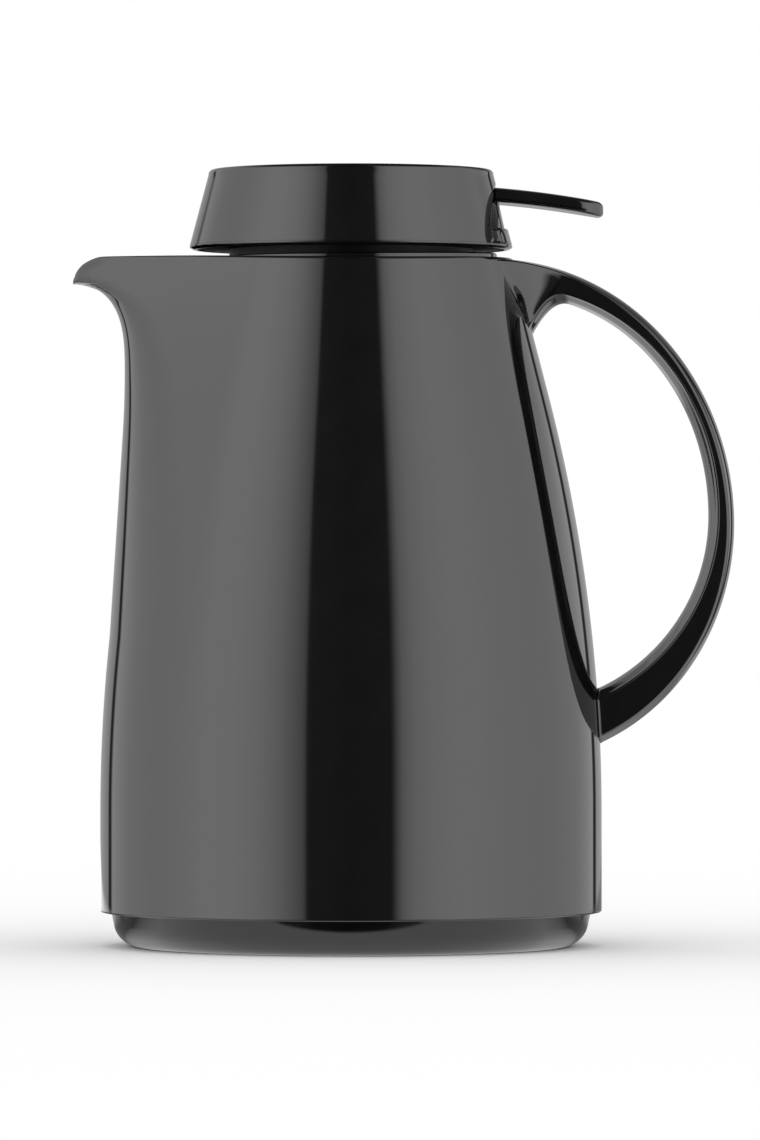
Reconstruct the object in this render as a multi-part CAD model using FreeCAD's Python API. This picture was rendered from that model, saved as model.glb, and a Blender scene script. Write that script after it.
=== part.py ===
import FreeCAD, Part
import math
import os

os.makedirs("parts", exist_ok=True)

V = FreeCAD.Vector

# Lengths are in millimetres, angles in degrees.
# +Z is up, the handle is on +X, the pouring lip on -X, the floor is z = 0.

# Jacket: round body with a curved flank and a conical shoulder
jacket_radius = 75.2
jacket_bottom_z = 10.4
flank_start_z = 40.0
cone_height = 41.5
rim_radius = 48.6
jacket_wall = 2.4

# Pouring lip
spout_hollow_drop = 34.5
spout_hollow_reach = 67.9
spout_tip_reach = 83.4
spout_tip_drop = 8.0
lip_thickness = 2.0
lip_half_width = 7.0
nose_rim_reach = 76.4
flare_rise_power = 3.0
flare_roll_power = 2.3
spout_ease_share = 0.14
nose_taper = 2.0

# Basin and collar in the jacket
basin_depth = 18.5
basin_floor_thickness = 2.4
collar_inset = 13.6
collar_wall = 2.8
collar_depth = 11.4
flange_thickness = 2.6
flange_width = 7.0

# Four-start thread between collar and stopper
thread_lead = 40.0
thread_start_count = 4
thread_depth = 2.2
thread_width = 2.4
thread_height = 6.0
thread_clearance = 0.35
thread_side_gap = 0.25

# Handle, as two pairs of quarter ellipses for its outer and inner edge
handle_reach = 115.0
handle_low_z = 55.5
handle_middle_share = 0.4705
handle_grip_thickness = 7.8
handle_half_width = 8.6
handle_top_centre_inset = 6.6
handle_top_centre_step = 8.0
handle_centre_inset = 25.2
handle_inner_lift = 2.5
handle_top_thickness = 11.5
handle_low_thickness = 16.5
handle_top_root_flare = 11.0
handle_top_root_widening = 8.0
handle_low_root_widening = 2.0
handle_flare_start_deg = 42.0
handle_square_power = 2.5
handle_flush_gap = 0.1

# Screw at the lower end of the handle
screw_drop = 1.45
screw_shank_radius = 1.75
screw_shank_length = 12.0
screw_head_radius = 3.6
screw_head_height = 2.4
screw_slot_width = 1.0
screw_slot_depth = 1.0
screw_bite = 0.02

# Base cup
base_setback = 3.3
base_floor_thickness = 2.6
base_wall = 2.6
base_corner_round = 8.0
base_draft = 2.0
base_recess_depth = 6.0
base_recess_margin = 15.9
base_recess_lean = 1.5
base_grip_width = 14.0
base_spigot_height = 12.0
base_spigot_clearance = 0.25
lug_count = 3
lug_angle_deg = 50.0
lug_height = 2.6
lug_depth = 2.2
lug_clearance = 0.2
ledge_above_edge = 4.0

# Glass flask
flask_air_gap = 3.0
glass_wall = 1.6
vacuum_gap = 5.0
flask_mouth_setback = 2.5
flask_neck_gap = 1.6
flask_neck_height = 9.0
flask_shoulder_drop = 33.0
flask_corner_z = 52.0
flask_bottom_z = 27.0
flask_shoulder_inset_share = 0.6
flask_shoulder_shares = (0.75, 0.4)
flask_dome_shares = (0.62, 0.35)
tip_radius = 3.4
tip_length = 6.5
tip_end_radius = 1.4
pad_radius = 6.0
pad_rise = 26.0
pad_count = 3

# Soft rings around the flask
neck_ring_over = 3.0
neck_ring_drop = 5.0
neck_ring_wall = 2.2
cushion_inner_radius = 14.0
cushion_outer_radius = 40.0
cushion_overlap = 6.0

# Stopper
gasket_thickness = 2.4
gasket_side_gap = 0.5
spigot_gap = 0.6
spigot_drop = 3.6
spigot_wall = 2.2
gasket_clearance = 0.1
plug_wall = 2.4
plug_floor_thickness = 2.4
port_bore_share = 0.4385
stopper_disc_lift = 2.2
stopper_disc_thickness = 2.2
skirt_inset = 12.1
skirt_wall = 2.2
skirt_rise = 2.5
window_half_angle_deg = 40.0
window_sill = 1.2
window_lintel = 3.0

# Lid carrier
carrier_thickness = 2.0
carrier_rim_gap = 0.25
carrier_ring_drop = 3.0
carrier_ring_wall = 1.8
carrier_ring_clearance = 0.1
guide_radius = 5.0
guide_drop = 3.0
guide_rise = 2.4

# Lid cap
cap_top_z = 232.8
cap_height = 22.8
cap_bead_height = 1.2
carrier_recess = 0.2
cap_inset = 0.2
cap_taper = 6.05
cap_wall = 2.2
cap_edge_round = 1.4
cap_bead_round = 1.6
notch_radius = 23.0
notch_crown = 4.6
notch_floor_gap = 0.8
notch_depth = 26.4
sill_height = 4.1
sill_half_width = 17.4
post_radius = 4.0
post_inset = 15.4
post_angles_deg = (62.0, 180.0, 298.0)
post_peg_radius = 2.2
post_peg_length = 1.6

# Lever
pin_inset = 15.4
pin_rise = 7.6
pin_radius = 1.6
pin_running_fit = 0.05
pin_overhang = 0.8
hub_radius = 4.0
lever_post_gap = 0.4
lever_post_thickness = 3.2
lever_post_half_length = 4.2
hub_half_width = 9.0
arm_half_width = 7.0
tongue_root_inset = 6.4
tongue_overhang = 27.2
tongue_fall = 4.6
tongue_crown = 0.8
tongue_root_thickness = 4.3
tongue_tip_thickness = 4.4
tongue_half_width = 11.0
tongue_corner_round = 8.0
shield_gap = 0.8
shield_low_flush = 1.0
shield_top_flush = 0.4
shield_sill_gap = 0.3
shield_radius = 24.0
shield_wall = 2.0
shield_sill_overlap = 0.8
tine_thickness = 2.6
tine_height = 3.2
tine_end_radius = 2.4
tine_drop = 2.0
tine_stem_gap = 0.6

# Valve
stem_radius = 2.5
stem_running_fit = 0.05
stem_top_over_collar = 0.6
stem_foot_radius = 6.0
stem_foot_thickness = 1.6
lift_collar_radius = 7.0
lift_collar_thickness = 2.6
lift_gap = 0.3
seal_overlap = 4.0
seal_thickness = 2.0
valve_disc_setback = 1.0
valve_disc_thickness = 2.4
valve_hub_radius = 5.0
valve_hub_height = 5.0
spring_radius = 7.6
spring_wire_radius = 0.6
spring_turn_count = 6.0
spring_seat_gap = 0.02

# Construction values
overrun = 1.0
shortest_edge = 1e-6
section_point_count = 48
body_section_count = 9
flare_section_count = 7
nose_section_count = 4
handle_section_count = 7
handle_point_count = 20
handle_top_deg = 89.0
handle_low_deg = -76.0

# Heights that follow, from the top of the cap downwards
cap_crease_z = cap_top_z - cap_height
cap_bottom_z = cap_crease_z - cap_bead_height
skirt_top_z = cap_bottom_z + carrier_recess
carrier_top_z = skirt_top_z + carrier_thickness
rim_z = skirt_top_z - skirt_rise
cone_start_z = rim_z - cone_height
spout_hollow_z = rim_z - spout_hollow_drop
spout_tip_z = rim_z - spout_tip_drop
lip_z = spout_tip_z + lip_thickness
basin_floor_z = rim_z - basin_depth
basin_underside_z = basin_floor_z - basin_floor_thickness
flange_top_z = basin_floor_z - collar_depth
collar_bottom_z = flange_top_z - flange_thickness
plug_bottom_z = flange_top_z + gasket_thickness
plug_floor_z = plug_bottom_z + plug_floor_thickness
disc_bottom_z = basin_floor_z + stopper_disc_lift
disc_top_z = disc_bottom_z + stopper_disc_thickness
seal_top_z = plug_floor_z + seal_thickness
valve_disc_top_z = seal_top_z + valve_disc_thickness
flask_mouth_z = collar_bottom_z - neck_ring_over
flask_shoulder_z = cone_start_z - flask_shoulder_drop
pad_z = flask_corner_z + pad_rise
base_floor_z = base_recess_depth + base_floor_thickness
notch_top_z = cap_top_z - notch_crown
notch_floor_z = cap_crease_z + notch_floor_gap
sill_top_z = notch_floor_z + sill_height
shield_bottom_z = sill_top_z - shield_sill_overlap
tongue_root_top_z = notch_top_z - shield_gap
tongue_tip_top_z = tongue_root_top_z - tongue_fall
pin_z = carrier_top_z + pin_rise
tine_end_z = pin_z - tine_drop
lift_collar_z = tine_end_z + tine_end_radius + lift_gap
stem_top_z = lift_collar_z + lift_collar_thickness + stem_top_over_collar

# Radii that follow, from the jacket inwards
# The flank is an arc that runs into the cone without a kink and ends at the rim's radius.
flank_run = cone_start_z - flank_start_z
half_lean = 0.0
for turn in range(40):
    half_lean = (jacket_radius - rim_radius) / (flank_run + 2.0 * cone_height / (1.0 - half_lean ** 2))
flank_lean = 2.0 * half_lean / (1.0 - half_lean ** 2)
flank_radius = flank_run * (1.0 + half_lean ** 2) / (2.0 * half_lean)
base_top_radius = jacket_radius - base_setback
base_recess_radius = base_top_radius - base_recess_margin
collar_bore_radius = rim_radius - collar_inset
flange_hole_radius = collar_bore_radius - flange_width
spigot_radius = flange_hole_radius - spigot_gap
flask_mouth_bore = flange_hole_radius - flask_mouth_setback
flask_neck_radius = flask_mouth_bore + 2.0 * glass_wall + flask_neck_gap
gasket_outer_radius = collar_bore_radius - thread_depth - gasket_side_gap
plug_crest_radius = collar_bore_radius - thread_clearance
plug_radius = plug_crest_radius - thread_depth - thread_clearance
plug_bore_radius = plug_radius - plug_wall
port_radius = plug_bore_radius * port_bore_share
seal_radius = port_radius + seal_overlap
valve_disc_radius = seal_radius - valve_disc_setback
skirt_radius = rim_radius - skirt_inset
cap_crease_radius = rim_radius - cap_inset
cap_top_radius = cap_crease_radius - cap_taper
cap_lean = cap_taper / cap_height
notch_from_x = cap_crease_radius - notch_depth
post_ring_radius = cap_crease_radius - post_inset
pin_x = cap_crease_radius - pin_inset
tongue_root_x = cap_crease_radius - tongue_root_inset
tongue_tip_x = cap_crease_radius + tongue_overhang

# Handle loop that follows from the rim, the jacket and its own low end
handle_top_centre_x = rim_radius - handle_top_centre_inset
handle_inner_top_centre_x = handle_top_centre_x + handle_top_centre_step
handle_centre_x = jacket_radius - handle_centre_inset
handle_top_z = rim_z - handle_flush_gap
handle_middle_z = handle_low_z + (handle_top_z - handle_low_z) * handle_middle_share
handle_inner_middle_z = handle_middle_z + handle_inner_lift
handle_outer_drop = handle_middle_z - handle_low_z
handle_inner_rise = rim_z - handle_top_thickness - handle_inner_middle_z
handle_inner_drop = handle_inner_middle_z - handle_low_z - handle_low_thickness
root_cos = handle_centre_inset / (handle_reach - handle_grip_thickness / 2 - handle_centre_x)
root_drop = (handle_outer_drop + handle_inner_drop) / 2 * math.sqrt(1.0 - root_cos ** 2)
screw_z = (handle_middle_z + handle_inner_middle_z) / 2 - root_drop - screw_drop


def eased(share, ease_share):
    """Rise from 0 to 1 that starts and ends level, straight in between."""
    share = min(max(share, 0.0), 1.0)
    top_slope = 1.0 / (1.0 - ease_share)
    if share < ease_share:
        return top_slope * share * share / (2.0 * ease_share)
    if share > 1.0 - ease_share:
        left = 1.0 - share
        return 1.0 - top_slope * left * left / (2.0 * ease_share)
    return top_slope * (share - ease_share / 2.0)


def corner_outline(corners):
    """Closed wire in the XZ plane through (x, z, radius) corners, each rounded by its radius."""
    count = len(corners)
    starts = []
    ends = []
    middles = []
    for i in range(count):
        x, z, radius = corners[i]
        here = V(x, 0, z)
        before = V(corners[i - 1][0], 0, corners[i - 1][1])
        after = V(corners[(i + 1) % count][0], 0, corners[(i + 1) % count][1])
        if radius <= 0:
            starts.append(here)
            ends.append(here)
            middles.append(None)
            continue
        to_before = (before - here).normalize()
        to_after = (after - here).normalize()
        half = to_before.getAngle(to_after) / 2.0
        reach = radius / math.tan(half)
        inward = (to_before + to_after).normalize()
        centre = here + inward * (radius / math.sin(half))
        starts.append(here + to_before * reach)
        ends.append(here + to_after * reach)
        middles.append(centre - inward * radius)
    edges = []
    for i in range(count):
        if middles[i] is not None:
            edges.append(Part.Arc(starts[i], middles[i], ends[i]).toShape())
        following = starts[(i + 1) % count]
        if (following - ends[i]).Length > shortest_edge:
            edges.append(Part.LineSegment(ends[i], following).toShape())
    return Part.Wire(edges)


def turned(corners, sweep_deg=360.0):
    """Solid of revolution about the Z axis from a cornered outline."""
    face = Part.Face(corner_outline(corners))
    return face.revolve(V(0, 0, 0), V(0, 0, 1), sweep_deg)


def rod(radius, z_low, z_high, x=0.0, y=0.0):
    """Upright cylinder between two heights."""
    return Part.makeCylinder(radius, z_high - z_low, V(x, y, z_low))


def slab(x_low, x_high, y_low, y_high, z_low, z_high):
    """Box between two corners."""
    return Part.makeBox(x_high - x_low, y_high - y_low, z_high - z_low, V(x_low, y_low, z_low))


def spun(shape, angle_deg):
    """Copy of a shape turned about the Z axis."""
    copy = shape.copy()
    copy.rotate(V(0, 0, 0), V(0, 0, 1), angle_deg)
    return copy


def round_radius(z):
    """Outer radius of the round body at a height."""
    if z <= flank_start_z:
        return jacket_radius
    if z <= cone_start_z:
        rise = z - flank_start_z
        return jacket_radius - flank_radius + math.sqrt(flank_radius ** 2 - rise ** 2)
    return rim_radius + flank_lean * (rim_z - z)


def nose_reach(z):
    """Reach of the lip's rounded nose above its tip."""
    if z <= lip_z:
        return spout_tip_reach
    share = min((z - lip_z) / (rim_z - lip_z), 1.0)
    return nose_rim_reach + (spout_tip_reach - nose_rim_reach) * math.sqrt(1.0 - share ** 2)


def spout_reach(z):
    """Distance from the axis to the outer spout side at a height."""
    if z <= spout_hollow_z:
        share = (z - flank_start_z) / (spout_hollow_z - flank_start_z)
        return jacket_radius + (spout_hollow_reach - jacket_radius) * eased(share, spout_ease_share)
    share = min((z - spout_hollow_z) / (spout_tip_z - spout_hollow_z), 1.0)
    flare = 1.0 - (1.0 - share ** flare_rise_power) ** (1.0 / flare_roll_power)
    return min(spout_hollow_reach + (spout_tip_reach - spout_hollow_reach) * flare, nose_reach(z))


def egg_radius(away, radius, reach):
    """Radius of a round section drawn out to a rounded nose, at an angle away from the nose."""
    away = abs(away)
    if reach <= radius:
        return radius
    nose = radius * math.exp(-nose_taper * (reach - radius) / radius)
    centre = reach - nose
    wrap = math.acos((radius - nose) / centre)
    nose_end = math.atan2(nose * math.sin(wrap), centre + nose * math.cos(wrap))
    if away >= wrap:
        return radius
    if away >= nose_end:
        return radius / math.cos(wrap - away)
    return centre * math.cos(away) + math.sqrt(nose ** 2 - (centre * math.sin(away)) ** 2)


def body_section(z, inner=False):
    """Closed horizontal section of the jacket, outside or inside its wall."""
    radius = round_radius(z)
    reach = spout_reach(z)
    if inner:
        radius = radius - jacket_wall
        reach = min(spout_reach(z - lip_thickness), nose_reach(z)) - jacket_wall
    points = []
    for i in range(section_point_count):
        angle = 2.0 * math.pi * i / section_point_count
        r = egg_radius(math.pi - angle, radius, reach)
        points.append(V(r * math.cos(angle), r * math.sin(angle), z))
    return closed_curve(points)


def closed_curve(points):
    """Smooth closed wire through points, with evenly spaced knots."""
    knots = [i / float(len(points)) for i in range(len(points) + 1)]
    curve = Part.BSplineCurve()
    curve.interpolate(Points=points, PeriodicFlag=True, Parameters=knots)
    return Part.Wire([curve.toShape()])


def steps(low, high, count):
    """Evenly spaced values, both ends included."""
    return [low + (high - low) * i / (count - 1.0) for i in range(count)]


def flare_steps(low, high, count):
    """Values from low to high that crowd towards the high end."""
    return [low + (high - low) * math.sin(0.5 * math.pi * i / (count - 1.0)) for i in range(count)]


def lofted(heights, inner=False):
    """Solid through the jacket sections at the given heights."""
    return Part.makeLoft([body_section(z, inner) for z in heights], True, False)


def body_outside():
    """Solid outer form of the jacket, without its hollow."""
    foot = lofted([jacket_bottom_z, flank_start_z])
    flank_heights = steps(flank_start_z, spout_hollow_z, body_section_count)[:-1]
    flank = lofted(flank_heights + flare_steps(spout_hollow_z, spout_tip_z, flare_section_count))
    nose = lofted([spout_tip_z] + flare_steps(lip_z, rim_z, nose_section_count))
    return foot.fuse(flank).fuse(nose)


def helix_ridges(root_radius, crest_radius, z_low, z_high):
    """Four helical ridges between two radii, spaced evenly about the axis."""
    inward = 1.0 if crest_radius > root_radius else -1.0
    base = root_radius - inward * thread_clearance
    height = z_high - z_low - thread_width
    path = Part.makeHelix(thread_lead, height, base)
    half = thread_width / 2
    tip_half = half / 2
    corners = [V(base, 0, -half), V(crest_radius, 0, -tip_half), V(crest_radius, 0, tip_half)]
    corners.append(V(base, 0, half))
    profile = Part.makePolygon(corners + corners[:1])
    ridge = Part.Wire(path.Edges).makePipeShell([profile], True, True)
    ridge.translate(V(0, 0, z_low + half))
    return [spun(ridge, 360.0 * i / thread_start_count) for i in range(thread_start_count)]


def make_jacket(outside):
    """Outer shell with lip, basin floor, threaded collar, seat flange and base ledges."""
    foot_hollow = lofted([jacket_bottom_z - overrun, flank_start_z], True)
    flank_hollow = lofted(steps(flank_start_z, basin_underside_z, body_section_count), True)
    basin_heights = steps(basin_floor_z, lip_z, flare_section_count)
    basin_heights = basin_heights + steps(lip_z, rim_z, nose_section_count)[1:]
    shell = outside.cut(foot_hollow).cut(flank_hollow)
    shell = shell.cut(lofted(basin_heights + [rim_z + overrun], True))
    lip_start = V(-spout_hollow_reach, 0, lip_z + lip_half_width)
    lip_round = Part.makeCylinder(lip_half_width, spout_tip_reach, lip_start, V(-1, 0, 0))
    lip_top = max(rim_z, lip_z + lip_half_width) + overrun
    lip_open = slab(-spout_hollow_reach - spout_tip_reach, -spout_hollow_reach, -lip_half_width,
                    lip_half_width, lip_z + lip_half_width, lip_top)
    lip_cut = lip_round.fuse(lip_open)
    collar_outer = collar_bore_radius + collar_wall
    collar = turned([
        (flange_hole_radius, collar_bottom_z, 0), (collar_outer, collar_bottom_z, 0),
        (collar_outer, basin_underside_z + basin_floor_thickness / 2, 0),
        (collar_bore_radius, basin_underside_z + basin_floor_thickness / 2, 0),
        (collar_bore_radius, flange_top_z, 0), (flange_hole_radius, flange_top_z, 0)])
    bore = rod(collar_bore_radius, flange_top_z, basin_floor_z + overrun)
    shell = shell.cut([lip_cut, bore])
    ridge_low = plug_bottom_z + thread_width + 2.0 * thread_side_gap
    ridges = helix_ridges(collar_bore_radius, collar_bore_radius - thread_depth, ridge_low,
                          ridge_low + thread_height)
    ledge_low = jacket_bottom_z + ledge_above_edge
    ledge_outer = jacket_radius - jacket_wall / 2
    ledge_inner = jacket_radius - jacket_wall - lug_depth
    ledge = turned([(ledge_inner, ledge_low, 0), (ledge_outer, ledge_low, 0),
                    (ledge_outer, ledge_low + lug_height, 0), (ledge_inner, ledge_low + lug_height, 0)],
                   lug_angle_deg)
    ledges = [spun(ledge, 360.0 * i / lug_count - lug_angle_deg / 2) for i in range(lug_count)]
    hole = Part.makeCylinder(screw_shank_radius, jacket_radius, V(0, 0, screw_z), V(1, 0, 0))
    hole.translate(V(jacket_radius / 2, 0, 0))
    return shell.fuse([collar] + ridges + ledges).cut(hole).removeSplitter()


def handle_section(angle_deg):
    """Closed section of the handle between its outer and inner edge at one angle of the loop."""
    angle = math.radians(angle_deg)
    cos = math.cos(angle)
    sin = math.sin(angle)
    if angle_deg >= 0:
        outer_reach = handle_reach - handle_top_centre_x
        outer_z = handle_middle_z + (handle_top_z - handle_middle_z) * sin
        outer = V(handle_top_centre_x + outer_reach * cos, 0, outer_z)
        inner_centre_x = handle_inner_top_centre_x
        inner_z = handle_inner_middle_z + handle_inner_rise * sin
    else:
        outer_reach = handle_reach - handle_centre_x
        outer_z = handle_middle_z + handle_outer_drop * sin
        outer = V(handle_centre_x + outer_reach * cos, 0, outer_z)
        inner_centre_x = handle_centre_x
        inner_z = handle_inner_middle_z + handle_inner_drop * sin
    inner_reach = handle_reach - handle_grip_thickness - inner_centre_x
    inner = V(inner_centre_x + inner_reach * cos, 0, inner_z)
    top_share = max((angle_deg - handle_flare_start_deg) / (90.0 - handle_flare_start_deg), 0.0)
    low_share = max(-angle_deg / 90.0, 0.0)
    inner = inner - V(0, 0, handle_top_root_flare * top_share ** 4)
    half_width = handle_half_width + handle_top_root_widening * top_share ** 3
    half_width = half_width + handle_low_root_widening * low_share ** 2
    centre = (outer + inner) * 0.5
    across = (outer - inner) * 0.5
    power = 2.0 / handle_square_power
    points = []
    for i in range(handle_point_count):
        turn = 2.0 * math.pi * (i + 0.5) / handle_point_count
        u = math.copysign(abs(math.cos(turn)) ** power, math.cos(turn))
        v = math.copysign(abs(math.sin(turn)) ** power, math.sin(turn))
        points.append(centre + across * u + V(0, half_width * v, 0))
    return closed_curve(points)


def make_handle(outside):
    """Loop handle, ended on the jacket's outer face at both roots."""
    upper = [handle_section(a) for a in steps(handle_top_deg, 0.0, handle_section_count)]
    lower = [handle_section(a) for a in steps(0.0, handle_low_deg, handle_section_count)]
    loop = Part.makeLoft(upper, True, False).fuse(Part.makeLoft(lower, True, False))
    above = slab(0, handle_reach, -jacket_radius, jacket_radius, rim_z, rim_z + handle_reach)
    loop = loop.cut([outside, above])
    solids = [s for s in loop.Solids if s.BoundBox.XMax > handle_reach - handle_grip_thickness]
    loop = solids[0]
    return loop.cut(screw_shank())


def screw_shank():
    """Shank of the handle screw, from the jacket's inner face outwards."""
    inner_x = round_radius(screw_z) - jacket_wall
    radius = screw_shank_radius - screw_bite
    return Part.makeCylinder(radius, screw_shank_length, V(inner_x, 0, screw_z), V(1, 0, 0))


def make_handle_screw(jacket):
    """Screw whose head bears on the jacket's inner face."""
    inner_x = round_radius(screw_z) - jacket_wall
    head_deep = screw_head_height + screw_head_radius
    head_start = V(inner_x - screw_head_height, 0, screw_z)
    head = Part.makeCylinder(screw_head_radius, head_deep, head_start, V(1, 0, 0))
    head = head.cut(body_half_space(inner_x))
    slot = slab(inner_x - screw_head_height - overrun, inner_x - screw_head_height + screw_slot_depth,
                -screw_head_radius, screw_head_radius, screw_z - screw_slot_width / 2,
                screw_z + screw_slot_width / 2)
    return head.cut(slot).fuse(screw_shank()).cut(jacket).Solids[0]


def body_half_space(x):
    """Large block beyond a plane across X."""
    return slab(x + screw_head_height / 4, x + jacket_radius, -jacket_radius, jacket_radius, 0, rim_z)


def make_base_cup():
    """Base ring with its floor, standing rim and locking lugs."""
    spigot = jacket_radius - jacket_wall - lug_depth - base_spigot_clearance
    spigot_top = jacket_bottom_z + base_spigot_height
    low_radius = base_top_radius - base_draft
    cup = turned([
        (0, base_recess_depth, 0), (base_recess_radius, base_recess_depth, 0),
        (base_recess_radius + base_recess_lean, 0, 0), (low_radius, 0, base_corner_round),
        (base_top_radius, jacket_bottom_z, 0), (spigot, jacket_bottom_z, 0), (spigot, spigot_top, 0),
        (spigot - base_wall, spigot_top, 0),
        (spigot - base_wall, base_floor_z, base_wall), (0, base_floor_z, 0)])
    lug_low = jacket_bottom_z + ledge_above_edge + lug_height + lug_clearance
    lug_out = jacket_radius - jacket_wall - base_spigot_clearance
    lug_in = spigot - base_wall / 2
    lug = turned([(lug_in, lug_low, 0), (lug_out, lug_low, 0), (lug_out, lug_low + lug_height, 0),
                  (lug_in, lug_low + lug_height, 0)], lug_angle_deg)
    lugs = [spun(lug, 360.0 * i / lug_count - lug_angle_deg / 2) for i in range(lug_count)]
    grip = slab(-base_recess_radius, base_recess_radius, -base_grip_width / 2, base_grip_width / 2, 0,
                base_floor_z)
    return cup.fuse(lugs + [grip]).removeSplitter()


def bottle_form(inset, neck_radius):
    """Solid bottle form, inset from the flask's outer skin, up to the mouth."""
    body = round_radius(flask_shoulder_z) - jacket_wall - flask_air_gap - inset
    bottom = flask_bottom_z + inset
    lowered = inset * flask_shoulder_inset_share
    shoulder_z = flask_shoulder_z - lowered
    neck_low = flask_mouth_z - flask_neck_height - lowered
    rise = V(0, 0, neck_low - shoulder_z)
    centre_low = V(0, 0, bottom)
    wall_low = V(body, 0, flask_corner_z)
    wall_high = V(body, 0, shoulder_z)
    neck_foot = V(neck_radius, 0, neck_low)
    mouth_edge = V(neck_radius, 0, flask_mouth_z)
    mouth_centre = V(0, 0, flask_mouth_z)
    shoulder = Part.BezierCurve()
    shoulder.setPoles([wall_high, wall_high + rise * flask_shoulder_shares[0],
                       neck_foot - rise * flask_shoulder_shares[1], neck_foot])
    dome = Part.BezierCurve()
    dome_side = V(body, 0, bottom + (flask_corner_z - bottom) * flask_dome_shares[1])
    dome.setPoles([centre_low, V(body * flask_dome_shares[0], 0, bottom), dome_side, wall_low])
    edges = [dome.toShape(), Part.LineSegment(wall_low, wall_high).toShape(), shoulder.toShape(),
             Part.LineSegment(neck_foot, mouth_edge).toShape(),
             Part.LineSegment(mouth_edge, mouth_centre).toShape(),
             Part.LineSegment(mouth_centre, centre_low).toShape()]
    return Part.Face(Part.Wire(edges)).revolve(V(0, 0, 0), V(0, 0, 1), 360.0)


def make_flask():
    """Outer bottle with its sealed tip, inner bottle with the fused lip, and the pads between."""
    inner_neck = flask_mouth_bore + glass_wall
    outer_skin = bottle_form(0, flask_neck_radius)
    outer_hollow = bottle_form(glass_wall, inner_neck + flask_neck_gap)
    inner_skin = bottle_form(glass_wall + vacuum_gap, inner_neck)
    inner_hollow = bottle_form(glass_wall + vacuum_gap + glass_wall, flask_mouth_bore)
    tip = Part.makeCone(tip_end_radius, tip_radius, tip_length, V(0, 0, flask_bottom_z - tip_length))
    tip_root = rod(tip_radius, flask_bottom_z, flask_bottom_z + glass_wall / 2)
    outer = outer_skin.cut(outer_hollow).fuse(tip.fuse(tip_root))
    lip_ring = turned([(inner_neck, flask_mouth_z - glass_wall, 0),
                       (inner_neck + flask_neck_gap, flask_mouth_z - glass_wall, 0),
                       (inner_neck + flask_neck_gap, flask_mouth_z, 0), (inner_neck, flask_mouth_z, 0)])
    inner = inner_skin.cut(inner_hollow).fuse(lip_ring).removeSplitter()
    pad = Part.makeCylinder(pad_radius, jacket_radius, V(0, 0, pad_z), V(1, 0, 0))
    pad = pad.common(outer_hollow).cut(inner_skin)
    pads = Part.makeCompound([spun(pad.Solids[0], 360.0 * (i + 0.5) / pad_count) for i in range(pad_count)])
    return outer.removeSplitter(), inner, pads, outer_skin


def make_neck_ring():
    """Soft ring over the flask mouth, under the seat flange."""
    outer = flask_neck_radius + neck_ring_wall
    return turned([
        (flask_mouth_bore, flask_mouth_z, 0), (flask_neck_radius, flask_mouth_z, 0),
        (flask_neck_radius, flask_mouth_z - neck_ring_drop, 0), (outer, flask_mouth_z - neck_ring_drop, 0),
        (outer, collar_bottom_z, 0), (flask_mouth_bore, collar_bottom_z, 0)])


def make_base_cushion(outer_skin):
    """Soft ring on the base floor that carries the flask's rounded bottom."""
    top = flask_bottom_z + cushion_overlap
    ring = turned([(cushion_inner_radius, base_floor_z, 0), (cushion_outer_radius, base_floor_z, 0),
                   (cushion_outer_radius, top, 0), (cushion_inner_radius, top, 0)])
    return ring.cut(outer_skin)


def make_stopper():
    """Threaded plug with its pour chamber, and the skirt with the pour window."""
    spigot_low = plug_bottom_z - spigot_drop
    spigot_bore = spigot_radius - spigot_wall
    skirt_bore = skirt_radius - skirt_wall
    body = turned([
        (spigot_bore, spigot_low, 0), (spigot_radius, spigot_low, 0), (spigot_radius, plug_bottom_z, 0),
        (plug_radius, plug_bottom_z, 0), (plug_radius, disc_bottom_z, 0), (skirt_radius, disc_bottom_z, 0),
        (skirt_radius, skirt_top_z, 0), (skirt_bore, skirt_top_z, 0), (skirt_bore, disc_top_z, 0),
        (plug_bore_radius, disc_top_z, 0), (plug_bore_radius, plug_floor_z, 0),
        (port_radius, plug_floor_z, 0), (port_radius, plug_bottom_z, 0), (spigot_bore, plug_bottom_z, 0)])
    sill = disc_top_z + window_sill
    lintel = skirt_top_z - window_lintel
    window = turned([
        (skirt_bore - overrun, sill, 0), (skirt_radius + overrun, sill, 0),
        (skirt_radius + overrun, lintel, 0), (skirt_bore - overrun, lintel, 0)], 2.0 * window_half_angle_deg)
    ridge_low = plug_bottom_z + thread_side_gap
    ridges = helix_ridges(plug_radius, plug_crest_radius, ridge_low, ridge_low + thread_height)
    return body.cut(spun(window, 180.0 - window_half_angle_deg)).fuse(ridges).removeSplitter()


def make_stopper_gasket():
    """Flat seal on the seat flange, round the plug's spigot."""
    outer = rod(gasket_outer_radius, flange_top_z, plug_bottom_z)
    return outer.cut(rod(spigot_radius + gasket_clearance, flange_top_z - overrun, plug_bottom_z + overrun))


def post_places():
    """Places of the three cap posts in plan."""
    return [(post_ring_radius * math.cos(math.radians(a)), post_ring_radius * math.sin(math.radians(a)))
            for a in post_angles_deg]


def pin_rod(radius, half_length):
    """Cylinder on the lever's hinge axis."""
    return Part.makeCylinder(radius, 2.0 * half_length, V(pin_x, -half_length, pin_z), V(0, 1, 0))


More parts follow.
